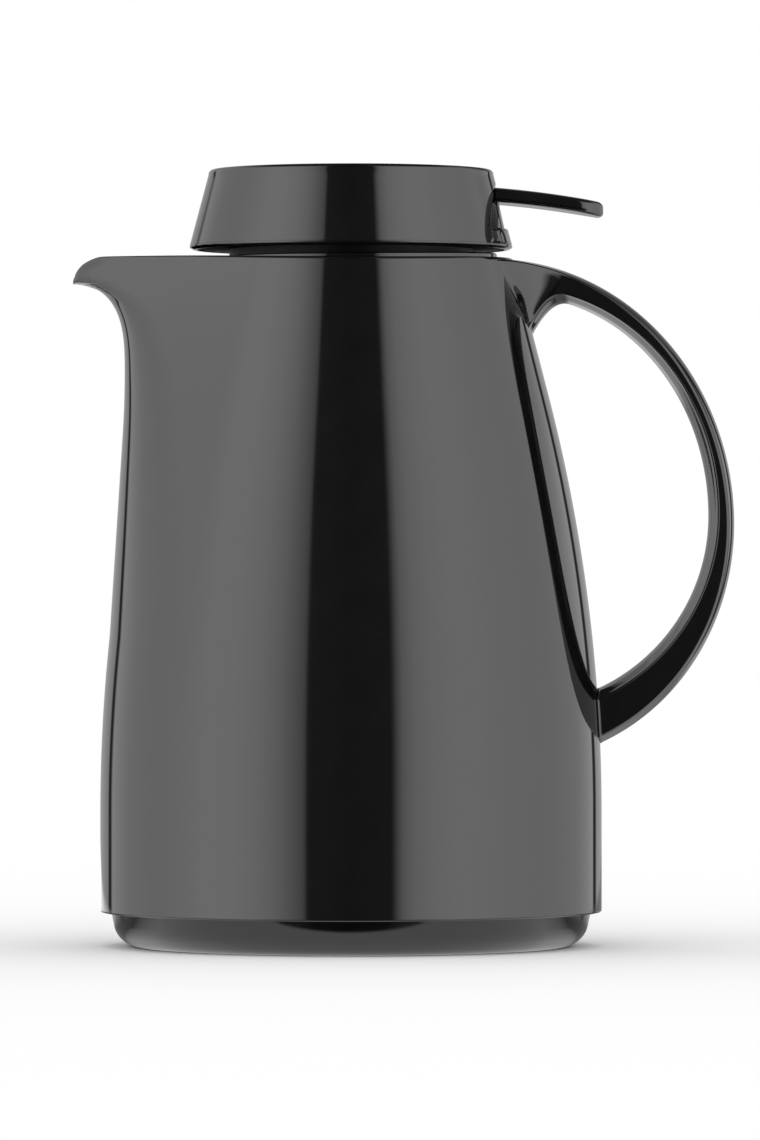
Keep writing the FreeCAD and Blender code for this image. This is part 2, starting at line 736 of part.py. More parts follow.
def make_lid_carrier():
    """Plate on the skirt with locating ring, stem guide, lever posts and post sockets."""
    outer = cap_radius(carrier_top_z) - cap_wall - carrier_rim_gap
    plate = rod(outer, skirt_top_z, carrier_top_z)
    ring_outer = skirt_radius - skirt_wall - carrier_ring_clearance
    ring = rod(ring_outer, skirt_top_z - carrier_ring_drop, skirt_top_z)
    ring = ring.cut(rod(ring_outer - carrier_ring_wall, skirt_top_z - carrier_ring_drop, skirt_top_z))
    guide = rod(guide_radius, skirt_top_z - guide_drop, carrier_top_z + guide_rise)
    body = plate.fuse([ring, guide])
    y_near = hub_half_width + lever_post_gap
    y_far = y_near + lever_post_thickness
    for low, high in ((y_near, y_far), (-y_far, -y_near)):
        post = slab(pin_x - lever_post_half_length, pin_x + lever_post_half_length, low, high, skirt_top_z,
                    pin_z)
        head = Part.makeCylinder(lever_post_half_length, high - low, V(pin_x, low, pin_z), V(0, 1, 0))
        body = body.fuse([post, head])
    body = body.cut(rod(stem_radius + stem_running_fit, skirt_top_z - guide_drop - overrun,
                        carrier_top_z + guide_rise + overrun))
    body = body.cut(pin_rod(pin_radius, y_far + overrun))
    sockets = [rod(post_peg_radius, skirt_top_z - overrun, carrier_top_z + overrun, x, y)
               for x, y in post_places()]
    return body.cut(sockets).removeSplitter()


def cap_radius(z):
    """Outer radius of the cap's cone at a height."""
    return cap_crease_radius - cap_lean * (z - cap_crease_z)


def notch_form(gap):
    """Arched block that fills the lever notch, smaller by a gap."""
    radius = notch_radius - gap
    centre_z = notch_top_z - notch_radius
    length = cap_crease_radius + tongue_tip_x
    return Part.makeCylinder(radius, length, V(notch_from_x, 0, centre_z), V(1, 0, 0))


def shield_form(gap, z_low, z_high):
    """Round form behind the lever's shield, larger by a gap, between two heights."""
    low_x = cap_radius(shield_bottom_z) - shield_low_flush
    top_x = cap_radius(notch_top_z) - shield_top_flush
    lean = (top_x - low_x) / (notch_top_z - shield_bottom_z)
    axis_x = (low_x + top_x) / 2 - shield_radius
    radius_low = low_x - axis_x + gap + lean * (z_low - shield_bottom_z)
    radius_high = low_x - axis_x + gap + lean * (z_high - shield_bottom_z)
    return Part.makeCone(radius_low, radius_high, z_high - z_low, V(axis_x, 0, z_low))


def make_lid_cap():
    """Truncated-cone cap with the arched notch and three posts."""
    inner_low = cap_crease_radius - cap_wall
    inner_top = cap_top_radius - cap_wall
    shell = turned([
        (0, cap_top_z - cap_wall, 0), (inner_top, cap_top_z - cap_wall, cap_edge_round / 2),
        (inner_low, cap_crease_z, 0), (inner_low, cap_bottom_z, 0),
        (cap_crease_radius - cap_bead_round / 2, cap_bottom_z, cap_bead_round / 2),
        (cap_crease_radius, cap_crease_z, 0), (cap_top_radius, cap_top_z, cap_edge_round), (0, cap_top_z, 0)])
    above = slab(0, 2.0 * cap_crease_radius, -cap_crease_radius, cap_crease_radius, notch_floor_z, cap_top_z)
    sill = slab(0, 2.0 * cap_crease_radius, -sill_half_width, sill_half_width, notch_floor_z, sill_top_z)
    sill = sill.cut(shield_form(shield_sill_gap, notch_floor_z, sill_top_z))
    shell = shell.cut(notch_form(0).common(above).cut(sill))
    for x, y in post_places():
        post = rod(post_radius, carrier_top_z, cap_top_z - cap_wall / 2, x, y)
        peg = rod(post_peg_radius, carrier_top_z - post_peg_length, carrier_top_z, x, y)
        shell = shell.fuse([post, peg])
    return shell.removeSplitter()


def make_lever():
    """Thumb tongue, shield, hub and lifting fork in one piece."""
    top_root = V(tongue_root_x, 0, tongue_root_top_z)
    top_tip = V(tongue_tip_x, 0, tongue_tip_top_z)
    low_tip = top_tip - V(0, 0, tongue_tip_thickness)
    low_root = top_root - V(0, 0, tongue_root_thickness)
    crown = V(0, 0, tongue_crown)
    side = Part.Wire([
        Part.Arc(top_root, (top_root + top_tip) * 0.5 + crown, top_tip).toShape(),
        Part.LineSegment(top_tip, low_tip).toShape(),
        Part.Arc(low_tip, (low_root + low_tip) * 0.5 + crown, low_root).toShape(),
        Part.LineSegment(low_root, top_root).toShape()])
    tongue = Part.Face(side).extrude(V(0, 2.0 * tongue_half_width, 0))
    tongue.translate(V(0, -tongue_half_width, 0))
    corner_x = tongue_tip_x - tongue_corner_round
    corner_y = tongue_half_width - tongue_corner_round
    plan = slab(tongue_root_x, corner_x, -tongue_half_width, tongue_half_width, carrier_top_z, cap_top_z)
    end = slab(corner_x, tongue_tip_x, -corner_y, corner_y, carrier_top_z, cap_top_z)
    rounds = [rod(tongue_corner_round, carrier_top_z, cap_top_z, corner_x, y) for y in (corner_y, -corner_y)]
    tongue = tongue.common(plan.fuse([end] + rounds)).common(notch_form(shield_gap))
    shield = shield_form(0, shield_bottom_z, notch_top_z)
    shield = shield.cut(shield_form(-shield_wall, shield_bottom_z, notch_top_z))
    shield = shield.common(notch_form(shield_gap))
    front_x = pin_x + hub_radius / 2
    front = slab(front_x, tongue_tip_x, -notch_radius, notch_radius, shield_bottom_z, notch_top_z)
    shield = shield.common(front)
    arm_end_x = tongue_root_x + shield_wall
    arm_low = pin_z - hub_radius / 2
    arm_top = tongue_root_top_z - tongue_root_thickness / 2
    arm = Part.Face(corner_outline([
        (pin_x, arm_low, 0), (arm_end_x, pin_z, 0), (arm_end_x, arm_top, 0), (tongue_root_x, arm_top, 0),
        (pin_x, pin_z + hub_radius / 2, 0)])).extrude(V(0, 2.0 * arm_half_width, 0))
    arm.translate(V(0, -arm_half_width, 0))
    hub = pin_rod(hub_radius, hub_half_width)
    half = tine_height / 2
    tine_form = Part.Face(corner_outline([
        (0, tine_end_z - half, 0), (pin_x, pin_z - half, 0), (pin_x, pin_z + half, 0),
        (0, tine_end_z + half, 0)])).extrude(V(0, tine_thickness, 0))
    end_form = Part.makeCylinder(tine_end_radius, tine_thickness, V(0, 0, tine_end_z), V(0, 1, 0))
    tine = tine_form.fuse(end_form)
    inner_y = stem_radius + tine_stem_gap
    near = tine.copy()
    near.translate(V(0, inner_y, 0))
    far = tine.copy()
    far.translate(V(0, -inner_y - tine_thickness, 0))
    lever = tongue.fuse([shield, arm, hub, near, far])
    return lever.cut(pin_rod(pin_radius + pin_running_fit, hub_half_width + overrun)).removeSplitter()


def make_lever_pin():
    """Hinge pin, held in the posts."""
    return pin_rod(pin_radius, hub_half_width + lever_post_gap + lever_post_thickness + pin_overhang)


def make_valve():
    """Stem with foot, lift collar, valve plate and soft seal."""
    stem = rod(stem_radius, plug_floor_z - stem_foot_thickness, stem_top_z)
    foot = rod(stem_foot_radius, plug_floor_z - stem_foot_thickness, plug_floor_z)
    stem = stem.fuse(foot).removeSplitter()
    collar = rod(lift_collar_radius, lift_collar_z, lift_collar_z + lift_collar_thickness)
    plate = rod(valve_disc_radius, seal_top_z, valve_disc_top_z)
    hub = rod(valve_hub_radius, valve_disc_top_z, valve_disc_top_z + valve_hub_height)
    seal = rod(seal_radius, plug_floor_z, seal_top_z)
    return stem, collar.cut(stem), plate.fuse(hub).cut(stem).removeSplitter(), seal.cut(stem)


def make_valve_spring():
    """Wound spring between the carrier and the valve plate."""
    low = valve_disc_top_z + spring_seat_gap + spring_wire_radius
    high = skirt_top_z - spring_seat_gap - spring_wire_radius
    path = Part.makeHelix((high - low) / spring_turn_count, high - low, spring_radius)
    wire = Part.Wire([Part.Circle(V(spring_radius, 0, 0), V(0, 1, 0), spring_wire_radius).toShape()])
    spring = Part.Wire(path.Edges).makePipeShell([wire], True, True)
    spring.translate(V(0, 0, low))
    return spring


outside_form = body_outside()
jacket = make_jacket(outside_form)
flask_outer, flask_inner, flask_pads, flask_skin = make_flask()
valve_stem, lift_collar, valve_disc, valve_seal = make_valve()

node_shapes = {
    "jacket": jacket,
    "handle": make_handle(outside_form),
    "handle_screw": make_handle_screw(jacket),
    "base_cup": make_base_cup(),
    "base_cushion": make_base_cushion(flask_skin),
    "flask_outer_bottle": flask_outer,
    "flask_inner_bottle": flask_inner,
    "flask_spacer_pads": flask_pads,
    "neck_ring": make_neck_ring(),
    "stopper_gasket": make_stopper_gasket(),
    "stopper": make_stopper(),
    "lid_carrier": make_lid_carrier(),
    "lid_cap": make_lid_cap(),
    "lever": make_lever(),
    "lever_pin": make_lever_pin(),
    "valve_stem": valve_stem,
    "lift_collar": lift_collar,
    "valve_disc": valve_disc,
    "valve_seal": valve_seal,
    "valve_spring": make_valve_spring(),
}

for name, shape in node_shapes.items():
    shape.exportStep("parts/" + name + ".step")
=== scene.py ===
import math

import bmesh
import bpy
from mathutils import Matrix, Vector


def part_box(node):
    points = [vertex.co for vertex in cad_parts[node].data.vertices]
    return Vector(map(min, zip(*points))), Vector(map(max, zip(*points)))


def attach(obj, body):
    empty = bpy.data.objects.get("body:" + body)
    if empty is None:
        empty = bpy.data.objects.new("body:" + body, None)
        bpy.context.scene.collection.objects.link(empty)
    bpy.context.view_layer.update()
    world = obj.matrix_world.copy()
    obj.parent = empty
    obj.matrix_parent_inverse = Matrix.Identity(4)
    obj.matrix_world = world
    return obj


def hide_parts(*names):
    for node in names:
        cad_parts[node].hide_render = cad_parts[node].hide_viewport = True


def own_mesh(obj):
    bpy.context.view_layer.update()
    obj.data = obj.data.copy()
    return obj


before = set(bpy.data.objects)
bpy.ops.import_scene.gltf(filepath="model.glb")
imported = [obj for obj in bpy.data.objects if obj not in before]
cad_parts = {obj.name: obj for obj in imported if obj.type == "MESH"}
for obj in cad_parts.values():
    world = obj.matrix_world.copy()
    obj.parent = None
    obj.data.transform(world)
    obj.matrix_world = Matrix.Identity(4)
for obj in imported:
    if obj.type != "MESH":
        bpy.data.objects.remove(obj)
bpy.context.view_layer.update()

# Lengths are in millimetres and angles in degrees, as in the part's source, where no comment differs.
# +Z is up, the handle is on +X, the pouring lip on -X, the carafe stands on z = 0.
MM = 0.001

# Jacket
JACKET_RADIUS = 75.2
JACKET_BOTTOM = 10.4
FOOT_ROUND = 0.5
FLANK_START = 40.0
FLANK_RADIUS = 500.0
CONE_START = 165.0
CONE_LEAN = 0.2582
RIM_RADIUS = 48.6
RIM_TOP = 206.5
RIM_ROUND = 1.1
RIM_ROUND_RUN = 3.0
RIM_HANDLE_DROP = 0.15
RIM_SIDE_DROP = 1.2
WALL = 2.4
LEAST_WALL = 1.2

# Pouring lip, with angles away from its tip in radians
HOLLOW_Z = 172.0
HOLLOW_REACH = 67.9
TIP_Z = 198.5
TIP_REACH = 83.4
LIP_Z = 200.5
LIP_WALL = 1.3
NOSE_REACH = 76.4
NOSE_TAPER = 2.0
SPOUT_EASE = 0.14
FLARE_POWER = 3.0
FLARE_FULLNESS = 2.3
FLANK_POWER = 1.7
FLANK_ANGLE = 0.5
LIP_ROUND_HEIGHT = 8.0
LIP_ROUND_ANGLE = 0.2
LIP_ROUND_STEPS = 6
GUTTER_FOOT = LIP_Z - 0.8
GUTTER_ANGLE = 0.072
GUTTER_POWER = 2.6

# Basin and collar
BASIN_FLOOR = 188.0
BASIN_FILLET = 3.0
COLLAR_BORE = 35.0
COLLAR_WALL = 2.8
FLANGE_TOP = 176.6
FLANGE_BOTTOM = 174.0
FLANGE_HOLE = 28.0
FLANGE_EDGE = 0.5
THREAD_STARTS = 4
THREAD_LOW = 181.9
THREAD_ROOT = COLLAR_BORE + 0.3
THREAD_CREST = COLLAR_BORE - 2.2
THREAD_LEAD = 40.0
THREAD_RISE = 3.6
THREAD_HALF_WIDTH = 1.2
THREAD_FADE = 0.08

# Handle loop
GRIP_REACH = 115.0
GRIP_THICKNESS = 7.8
GRIP_HALF_WIDTH = 8.6
GRIP_FOOT_WIDENING = 2.0
GRIP_CORNER = 0.8
GRIP_TOP_CENTRE_X = 42.0
GRIP_CENTRE_X = 50.0
GRIP_OUTER_CENTRE_Z = 126.5
GRIP_INNER_CENTRE_Z = 129.0
GRIP_OUTER_RISE = 79.7
GRIP_INNER_RISE = 66.0
GRIP_OUTER_FALL = 71.0
GRIP_INNER_FALL = 57.0
GRIP_JOIN = 55.0
OUTER_CROWN = 2.0
OUTER_CROWN_POWER = 1.35
INNER_CROWN = 2.55
INNER_BEND = 0.46
INNER_BEND_RISE = 0.8
CORNER_TURNS = (22.5, 45.0, 67.5, 90.0)

# Handle roots
ROOT_DROP = 22.0
ROOT_DROP_START = 74.0
ROOT_CROWN_LOSS = 1.2
ROOT_CROWN_START = 55.0
ROOT_CROWN_RUN = 30.0
ROOT_FILLET = 3.0
ROOT_FILLET_AT_RIM = 28.0
ROOT_FILLET_FROM = 20.0
ROOT_FLARE_START = 187.0
ROOT_FLARE_END = 205.0
ROOT_END_Z = 192.0
ROOT_SINK = 1.0
BUTT_LOWEST = -76.0
BUTT_HIGHEST = -40.0
BUTT_GAP = 0.02
BUTT_LEDGE = 0.2

# Splash ring inside the rim
SPLASH_HALF_SPAN = 140.0
SPLASH_FOOT = 203.4
SPLASH_STEP = 204.4
SPLASH_TOP = 206.4
SPLASH_HANDLE_RISE = 1.3
SPLASH_LEDGE = 46.4
SPLASH_OUTER = 43.8
SPLASH_INNER = 42.2

# Lid cap, with its notch and what fills it
CAP_BOTTOM = 208.8
CAP_CREASE = 210.0
CAP_CREASE_RADIUS = 48.4
CAP_TOP = 232.8
CAP_TOP_RADIUS = 42.35
CAP_WALL = 2.2
CAP_EDGE = 1.4
CAP_CONE_TOP = CAP_TOP - 1.6
NOTCH_RADIUS = 23.0
NOTCH_ROUND = 0.55
NOTCH_CENTRE = 205.2
NOTCH_FLOOR = 210.8
NOTCH_CORNER_WIDTH = 22.2
SILL_TOP = 214.9
SILL_HALF_WIDTH = 17.4
SILL_THICKNESS = 0.6
SILL_SIDE_ROUND = 1.0
SILL_TOP_ROUND = 3.0
SILL_TOP_ROUND_DROP = 1.6
FILL_SINK = 0.3
POST_CIRCLE = 33.0
POST_ANGLES = (62.0, 180.0, 298.0)
POST_RADIUS = 4.0
PEG_RADIUS = 2.2
PEG_BOTTOM = 209.4
PEG_TOP = 211.0

# Thumb lever
TONGUE_START = 43.2
TONGUE_TIP = 75.6
TONGUE_CORNER = 8.0
TONGUE_NOSE = 1.9
TONGUE_HALF_WIDTH = 11.0
TONGUE_HALF_THICKNESS = 2.25
TONGUE_HALF_THICKNESS_AT_TIP = 1.0
TONGUE_TOP_X = 43.65
TONGUE_TOP_Z = 227.4
TONGUE_SLOPE = 0.0835
TONGUE_BEND = 0.00181
TONGUE_DROOP = 0.5
TONGUE_DROOP_LOSS = 0.3
TONGUE_SIDE_POWER = 0.32
TONGUE_FACE_POWER = 0.5
SHIELD_BOTTOM = 214.1
SHIELD_TOP = 228.2
SHIELD_GAP = 0.8
SHIELD_LOW_INSET = 1.0
SHIELD_TOP_INSET = 0.4
SHIELD_ROUND = 24.0
SHIELD_HALF_SPAN = 56.0
SHIELD_THICKNESS = 2.0
SHIELD_EDGE = 0.4
SHIELD_LEAST_RISE = 0.6
SHIELD_FIRST_TOP = 220.0
PIN_X = 33.0
PIN_Z = 218.6
HUB_RADIUS = 4.0
HUB_HALF_WIDTH = 9.0
ARM_HALF_WIDTH = 7.0
ARM_END_X = 43.8
ARM_END_TOP = 225.0
EDGE_CUT = 0.5
FORK_NEAR = 3.1
FORK_FAR = 5.7
FORK_CUT = 0.35
FORK_CUT_RUN = 0.3
FORK_HALF_HEIGHT = 1.6
FORK_EYE_Z = 216.6
FORK_EYE_RADIUS = 2.4
FORK_NECK_X = 1.6

# Valve spring
SPRING_RADIUS = 7.6
SPRING_WIRE = 0.6
SPRING_TURNS = 6.0
SPRING_CLOSED_SHARE = 0.1


# Mesh helpers

def skin(rings, along=False):
    """Points and faces of the surface through equal rings, with last and first joined if along is set."""
    count = len(rings[0])
    points = [p for ring in rings for p in ring]
    faces = []
    last_ring = len(rings) if along else len(rings) - 1
    for i in range(last_ring):
        here = i * count
        there = ((i + 1) % len(rings)) * count
        for j in range(count):
            k = (j + 1) % count
            faces.append((here + j, here + k, there + k, there + j))
    return points, faces


def capped(rings):
    """Closed tube through rings of points, with a flat face at each end."""
    points, faces = skin(rings)
    count = len(rings[0])
    faces.append(tuple(reversed(range(count))))
    faces.append(tuple(range(len(points) - count, len(points))))
    return points, faces


def joined(surfaces):
    """One surface made of several separate ones."""
    points = []
    faces = []
    for more, quads in surfaces:
        faces += [tuple(k + len(points) for k in quad) for quad in quads]
        points += more
    return points, faces


def full_turn(steps):
    """Angles of one turn in even steps, in radians."""
    return [2.0 * math.pi * i / steps for i in range(steps)]


def spun(profile, angle):
    """Points of a profile of (radius, z) at an angle about the Z axis, in radians."""
    return [(r * math.cos(angle), r * math.sin(angle), z) for r, z in profile]


def arc(centre_r, centre_z, wide, high, turns):
    """Part of a round in a (radius, z) outline, at turns from the outward direction."""
    angles = [math.radians(turn) for turn in turns]
    return [(centre_r + wide * math.cos(a), centre_z + high * math.sin(a)) for a in angles]


def add_piece(name, surface, body, finish, node=None, sharp=38.0):
    """Mesh object from points in millimetres, riding on a body."""
    points, faces = surface
    mesh = bpy.data.meshes.new(name)
    work = bmesh.new()
    corners = [work.verts.new((x * MM, y * MM, z * MM)) for x, y, z in points]
    for face in faces:
        work.faces.new([corners[i] for i in face])
    bmesh.ops.remove_doubles(work, verts=work.verts, dist=2e-6)
    bmesh.ops.dissolve_degenerate(work, edges=work.edges, dist=1e-7)
    bmesh.ops.recalc_face_normals(work, faces=work.faces)
    work.to_mesh(mesh)
    work.free()
    mesh.shade_smooth()
    mesh.set_sharp_from_angle(angle=math.radians(sharp))
    mesh.materials.append(finish)
    piece = bpy.data.objects.new(name, mesh)
    bpy.context.scene.collection.objects.link(piece)
    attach(piece, body)
    if node:
        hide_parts(node)
    return piece


def spaced(low, high, count):
    """Evenly spaced values, both ends included."""
    return [low + (high - low) * i / (count - 1.0) for i in range(count)]


def clamped(share):
    """Share kept between 0 and 1."""
    return min(max(share, 0.0), 1.0)


def smoothed(share):
    """Soft rise from 0 to 1 that starts and ends level."""
    share = clamped(share)
    return share * share * (3.0 - 2.0 * share)


def eased(share, ease):
    """Rise from 0 to 1 that starts and ends level, straight in between."""
    share = clamped(share)
    slope = 1.0 / (1.0 - ease)
    if share < ease:
        return slope * share * share / (2.0 * ease)
    if share > 1.0 - ease:
        left = 1.0 - share
        return 1.0 - slope * left * left / (2.0 * ease)
    return slope * (share - ease / 2.0)


def signed_power(value, power):
    """Power of a value's size, with the value's sign."""
    return math.copysign(abs(value) ** power, value)


# Finishes

def set_or_link(tree, socket, value):
    """Plain number set on a socket, or another node's output linked to it."""
    if isinstance(value, (int, float)):
        socket.default_value = value
    else:
        tree.links.new(value, socket)


def math_node(tree, operation, first, second):
    """Result of a calculation with two values."""
    node = tree.nodes.new("ShaderNodeMath")
    node.operation = operation
    set_or_link(tree, node.inputs[0], first)
    set_or_link(tree, node.inputs[1], second)
    return node.outputs[0]


def noise_node(tree, place, scale, detail=3.0, roughness=0.5):
    """Cloudy value from 0 to 1."""
    node = tree.nodes.new("ShaderNodeTexNoise")
    node.inputs["Detail"].default_value = detail
    node.inputs["Roughness"].default_value = roughness
    tree.links.new(place, node.inputs["Vector"])
    set_or_link(tree, node.inputs["Scale"], scale)
    return node.outputs["Fac"]


def spread_node(tree, value, from_low, from_high, to_low, to_high):
    """Value moved from one range to another and kept within it."""
    node = tree.nodes.new("ShaderNodeMapRange")
    for socket, setting in zip(node.inputs, (value, from_low, from_high, to_low, to_high)):
        set_or_link(tree, socket, setting)
    return node.outputs["Result"]


def split_node(tree, vector):
    """X, Y and Z of a place or direction."""
    node = tree.nodes.new("ShaderNodeSeparateXYZ")
    tree.links.new(vector, node.inputs[0])
    return node.outputs


def new_group(name, inputs):
    """Empty shared effect with its inputs, its three outputs and the place on the piece."""
    group = bpy.data.node_groups.new(name, "ShaderNodeTree")
    for socket_name, value in inputs:
        socket = group.interface.new_socket(socket_name, in_out="INPUT", socket_type="NodeSocketFloat")
        socket.default_value = value
    group.interface.new_socket("Colour", in_out="OUTPUT", socket_type="NodeSocketColor")
    for socket_name in ("Roughness", "Relief"):
        group.interface.new_socket(socket_name, in_out="OUTPUT", socket_type="NodeSocketFloat")
    ins = group.nodes.new("NodeGroupInput").outputs
    outs = group.nodes.new("NodeGroupOutput").inputs
    place = group.nodes.new("ShaderNodeTexCoord").outputs["Object"]
    return group, ins, outs, place


def make_moulding_group():
    """Moulded plastic: hazy handling film, fine dust, soft sink marks and a fine skin."""
    group, ins, outs, place = new_group("moulded_skin", (
        ("Tone", 0.005), ("Polish", 0.05), ("Haze", 0.05), ("Dust", 0.2), ("Grain", 0.0)))
    film = noise_node(group, place, scale=38.0, detail=4.0, roughness=0.55)
    film = spread_node(group, film, 0.42, 0.72, 0.0, 1.0)
    specks = noise_node(group, place, scale=2600.0, detail=1.0, roughness=0.4)
    specks = spread_node(group, specks, 0.735, 0.78, 0.0, 1.0)
    patches = noise_node(group, place, scale=55.0, detail=2.0)
    patches = spread_node(group, patches, 0.45, 0.7, 0.0, 1.0)
    dust = math_node(group, "MULTIPLY", math_node(group, "MULTIPLY", specks, patches), ins["Dust"])
    rough = math_node(group, "MULTIPLY", film, ins["Haze"])
    rough = math_node(group, "ADD", rough, ins["Polish"])
    rough = math_node(group, "ADD", rough, math_node(group, "MULTIPLY", dust, 0.5))
    shade = noise_node(group, place, scale=120.0, detail=3.0)
    shade = spread_node(group, shade, 0.3, 0.7, 0.85, 1.15)
    tone = math_node(group, "MULTIPLY", shade, ins["Tone"])
    tone = math_node(group, "ADD", tone, math_node(group, "MULTIPLY", dust, 0.12))
    colour = group.nodes.new("ShaderNodeCombineColor")
    group.links.new(tone, colour.inputs[0])
    group.links.new(tone, colour.inputs[1])
    group.links.new(math_node(group, "MULTIPLY", tone, 1.05), colour.inputs[2])
    sink = noise_node(group, place, scale=22.0, detail=1.0)
    grain = noise_node(group, place, scale=1500.0, detail=2.0)
    relief = math_node(group, "ADD", sink, math_node(group, "MULTIPLY", grain, ins["Grain"]))
    group.links.new(colour.outputs[0], outs["Colour"])
    group.links.new(rough, outs["Roughness"])
    group.links.new(relief, outs["Relief"])
    return group


def make_fleck_group():
    """Uneven tone and a fine relief for soft and fibrous stuff."""
    group, ins, outs, place = new_group("soft_fleck", (
        ("Scale", 400.0), ("Dark", 0.02), ("Pale", 0.04), ("Smooth", 0.5), ("Rough", 0.7)))
    fine = noise_node(group, place, scale=ins["Scale"], detail=4.0, roughness=0.6)
    broad = noise_node(group, place, scale=60.0, detail=2.0)
    both = math_node(group, "MULTIPLY", math_node(group, "ADD", fine, broad), 0.5)
    tone = spread_node(group, both, 0.35, 0.65, ins["Dark"], ins["Pale"])
    colour = group.nodes.new("ShaderNodeCombineColor")
    for socket in colour.inputs[:3]:
        group.links.new(tone, socket)
    rough = spread_node(group, both, 0.35, 0.65, ins["Smooth"], ins["Rough"])
    group.links.new(colour.outputs[0], outs["Colour"])
    group.links.new(rough, outs["Roughness"])
    group.links.new(fine, outs["Relief"])
    return group


def finish_from(name, group, relief_mm, values):
    """Material whose colour, roughness and relief come from a shared effect, and its shader."""
    finish = bpy.data.materials.new(name)
    finish.use_nodes = True
    tree = finish.node_tree
    shader = tree.nodes["Principled BSDF"]
    effect = tree.nodes.new("ShaderNodeGroup")
    effect.node_tree = group
    for socket_name, value in values.items():
        effect.inputs[socket_name].default_value = value
    tree.links.new(effect.outputs["Colour"], shader.inputs["Base Color"])
    tree.links.new(effect.outputs["Roughness"], shader.inputs["Roughness"])
    bump = tree.nodes.new("ShaderNodeBump")
    bump.inputs["Distance"].default_value = relief_mm * MM
    bump.inputs["Strength"].default_value = 1.0
    tree.links.new(effect.outputs["Relief"], bump.inputs["Height"])
    tree.links.new(bump.outputs["Normal"], shader.inputs["Normal"])
    return finish, shader


def moulded_plastic(name, relief_mm=0.002, shine=0.5, **values):
    """Moulded plastic finish from the shared skin group."""
    finish, shader = finish_from(name, moulded_skin, relief_mm, values)
    shader.inputs["Specular IOR Level"].default_value = shine
    return finish


def flecked(name, relief_mm, metallic=0.0, sheen=0.0, **values):
    """Soft, fibrous or metal finish from the shared fleck group."""
    finish, shader = finish_from(name, soft_fleck, relief_mm, values)
    shader.inputs["Metallic"].default_value = metallic
    shader.inputs["Sheen Weight"].default_value = sheen
    return finish


moulded_skin = make_moulding_group()
soft_fleck = make_fleck_group()

jacket_gloss = moulded_plastic("jacket_gloss_black", Tone=0.0045, Polish=0.02, Haze=0.025, Dust=0.15)
handle_gloss = moulded_plastic("handle_gloss_black", Tone=0.0045, Polish=0.025, Haze=0.035, Dust=0.15)
lid_gloss = moulded_plastic("lid_gloss_black", Tone=0.0045, Polish=0.022, Haze=0.03, Dust=0.2)
lever_gloss = moulded_plastic("lever_gloss_black", Tone=0.005, Polish=0.03, Haze=0.04, Dust=0.15)
base_satin = moulded_plastic("base_satin_black", Tone=0.005, Polish=0.05, Haze=0.05, Dust=0.25)
stopper_satin = moulded_plastic("stopper_dull_black", relief_mm=0.003, shine=0.16, Tone=0.006, Polish=0.4,
                                Haze=0.12, Dust=0.1, Grain=0.3)
hidden_plastic = moulded_plastic("inner_matt_plastic", relief_mm=0.006, Tone=0.05, Polish=0.36,
                                 Haze=0.12, Dust=0.1, Grain=0.8)
silvering = flecked("silvered_glass", relief_mm=0.0002, metallic=1.0, Scale=90.0, Dark=0.78, Pale=0.88,
                    Smooth=0.03, Rough=0.07)
silicone = flecked("milky_silicone", relief_mm=0.004, Scale=900.0, Dark=0.5, Pale=0.58, Smooth=0.42,
                   Rough=0.55)
rubber = flecked("matt_dark_rubber", relief_mm=0.01, Scale=700.0, Dark=0.018, Pale=0.032, Smooth=0.6,
                 Rough=0.78)
felt = flecked("pressed_fibre", relief_mm=0.12, sheen=0.3, Scale=520.0, Dark=0.34, Pale=0.5, Smooth=0.85,
               Rough=0.97)
steel = flecked("bright_steel", relief_mm=0.001, metallic=1.0, Scale=1500.0, Dark=0.55, Pale=0.66,
                Smooth=0.16, Rough=0.3)

# Pieces whose solid form is already right keep it and get their finish here.
carried_over = (
    (base_satin, ("base_cup",)),
    (stopper_satin, ("stopper", "lid_carrier")),
    (hidden_plastic, ("valve_stem", "lift_collar", "valve_disc")),
    (silvering, ("flask_outer_bottle", "flask_inner_bottle")),
    (silicone, ("stopper_gasket", "valve_seal")),
    (rubber, ("base_cushion", "neck_ring")),
    (felt, ("flask_spacer_pads",)),
    (steel, ("handle_screw", "lever_pin")),
)
for finish, node_names in carried_over:
    for node_name in node_names:
        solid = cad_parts[node_name]
        solid.data.materials.clear()
        solid.data.materials.append(finish)


# Jacket

def round_radius(z):
    """Outer radius of the round body at a height."""
    if z <= FLANK_START:
        return JACKET_RADIUS
    if z <= CONE_START:
        return JACKET_RADIUS - FLANK_RADIUS + math.sqrt(FLANK_RADIUS ** 2 - (z - FLANK_START) ** 2)
    return RIM_RADIUS + CONE_LEAN * (RIM_TOP - z)


def flare_reach(z, hollow, tip_z, tip):
    """Reach of the lip's underside, which swings out from the hollow to the tip."""
    share = clamped((z - HOLLOW_Z) / (tip_z - HOLLOW_Z))
    return hollow + (tip - hollow) * (1.0 - (1.0 - share ** FLARE_POWER) ** (1.0 / FLARE_FULLNESS))


def nose_reach(z):
    """Reach of the lip's rounded nose above its tip."""
    share = clamped((z - LIP_Z) / (RIM_TOP - LIP_Z))
    return NOSE_REACH + (TIP_REACH - NOSE_REACH) * math.sqrt(1.0 - share ** 2)


def spout_reach(z):
    """Distance from the axis to the outer spout side at a height."""
    if z <= HOLLOW_Z:
        share = (z - FLANK_START) / (HOLLOW_Z - FLANK_START)
        return JACKET_RADIUS + (HOLLOW_REACH - JACKET_RADIUS) * eased(share, SPOUT_EASE)
    if z < TIP_Z:
        return flare_reach(z, HOLLOW_REACH, TIP_Z, TIP_REACH)
    return nose_reach(z)


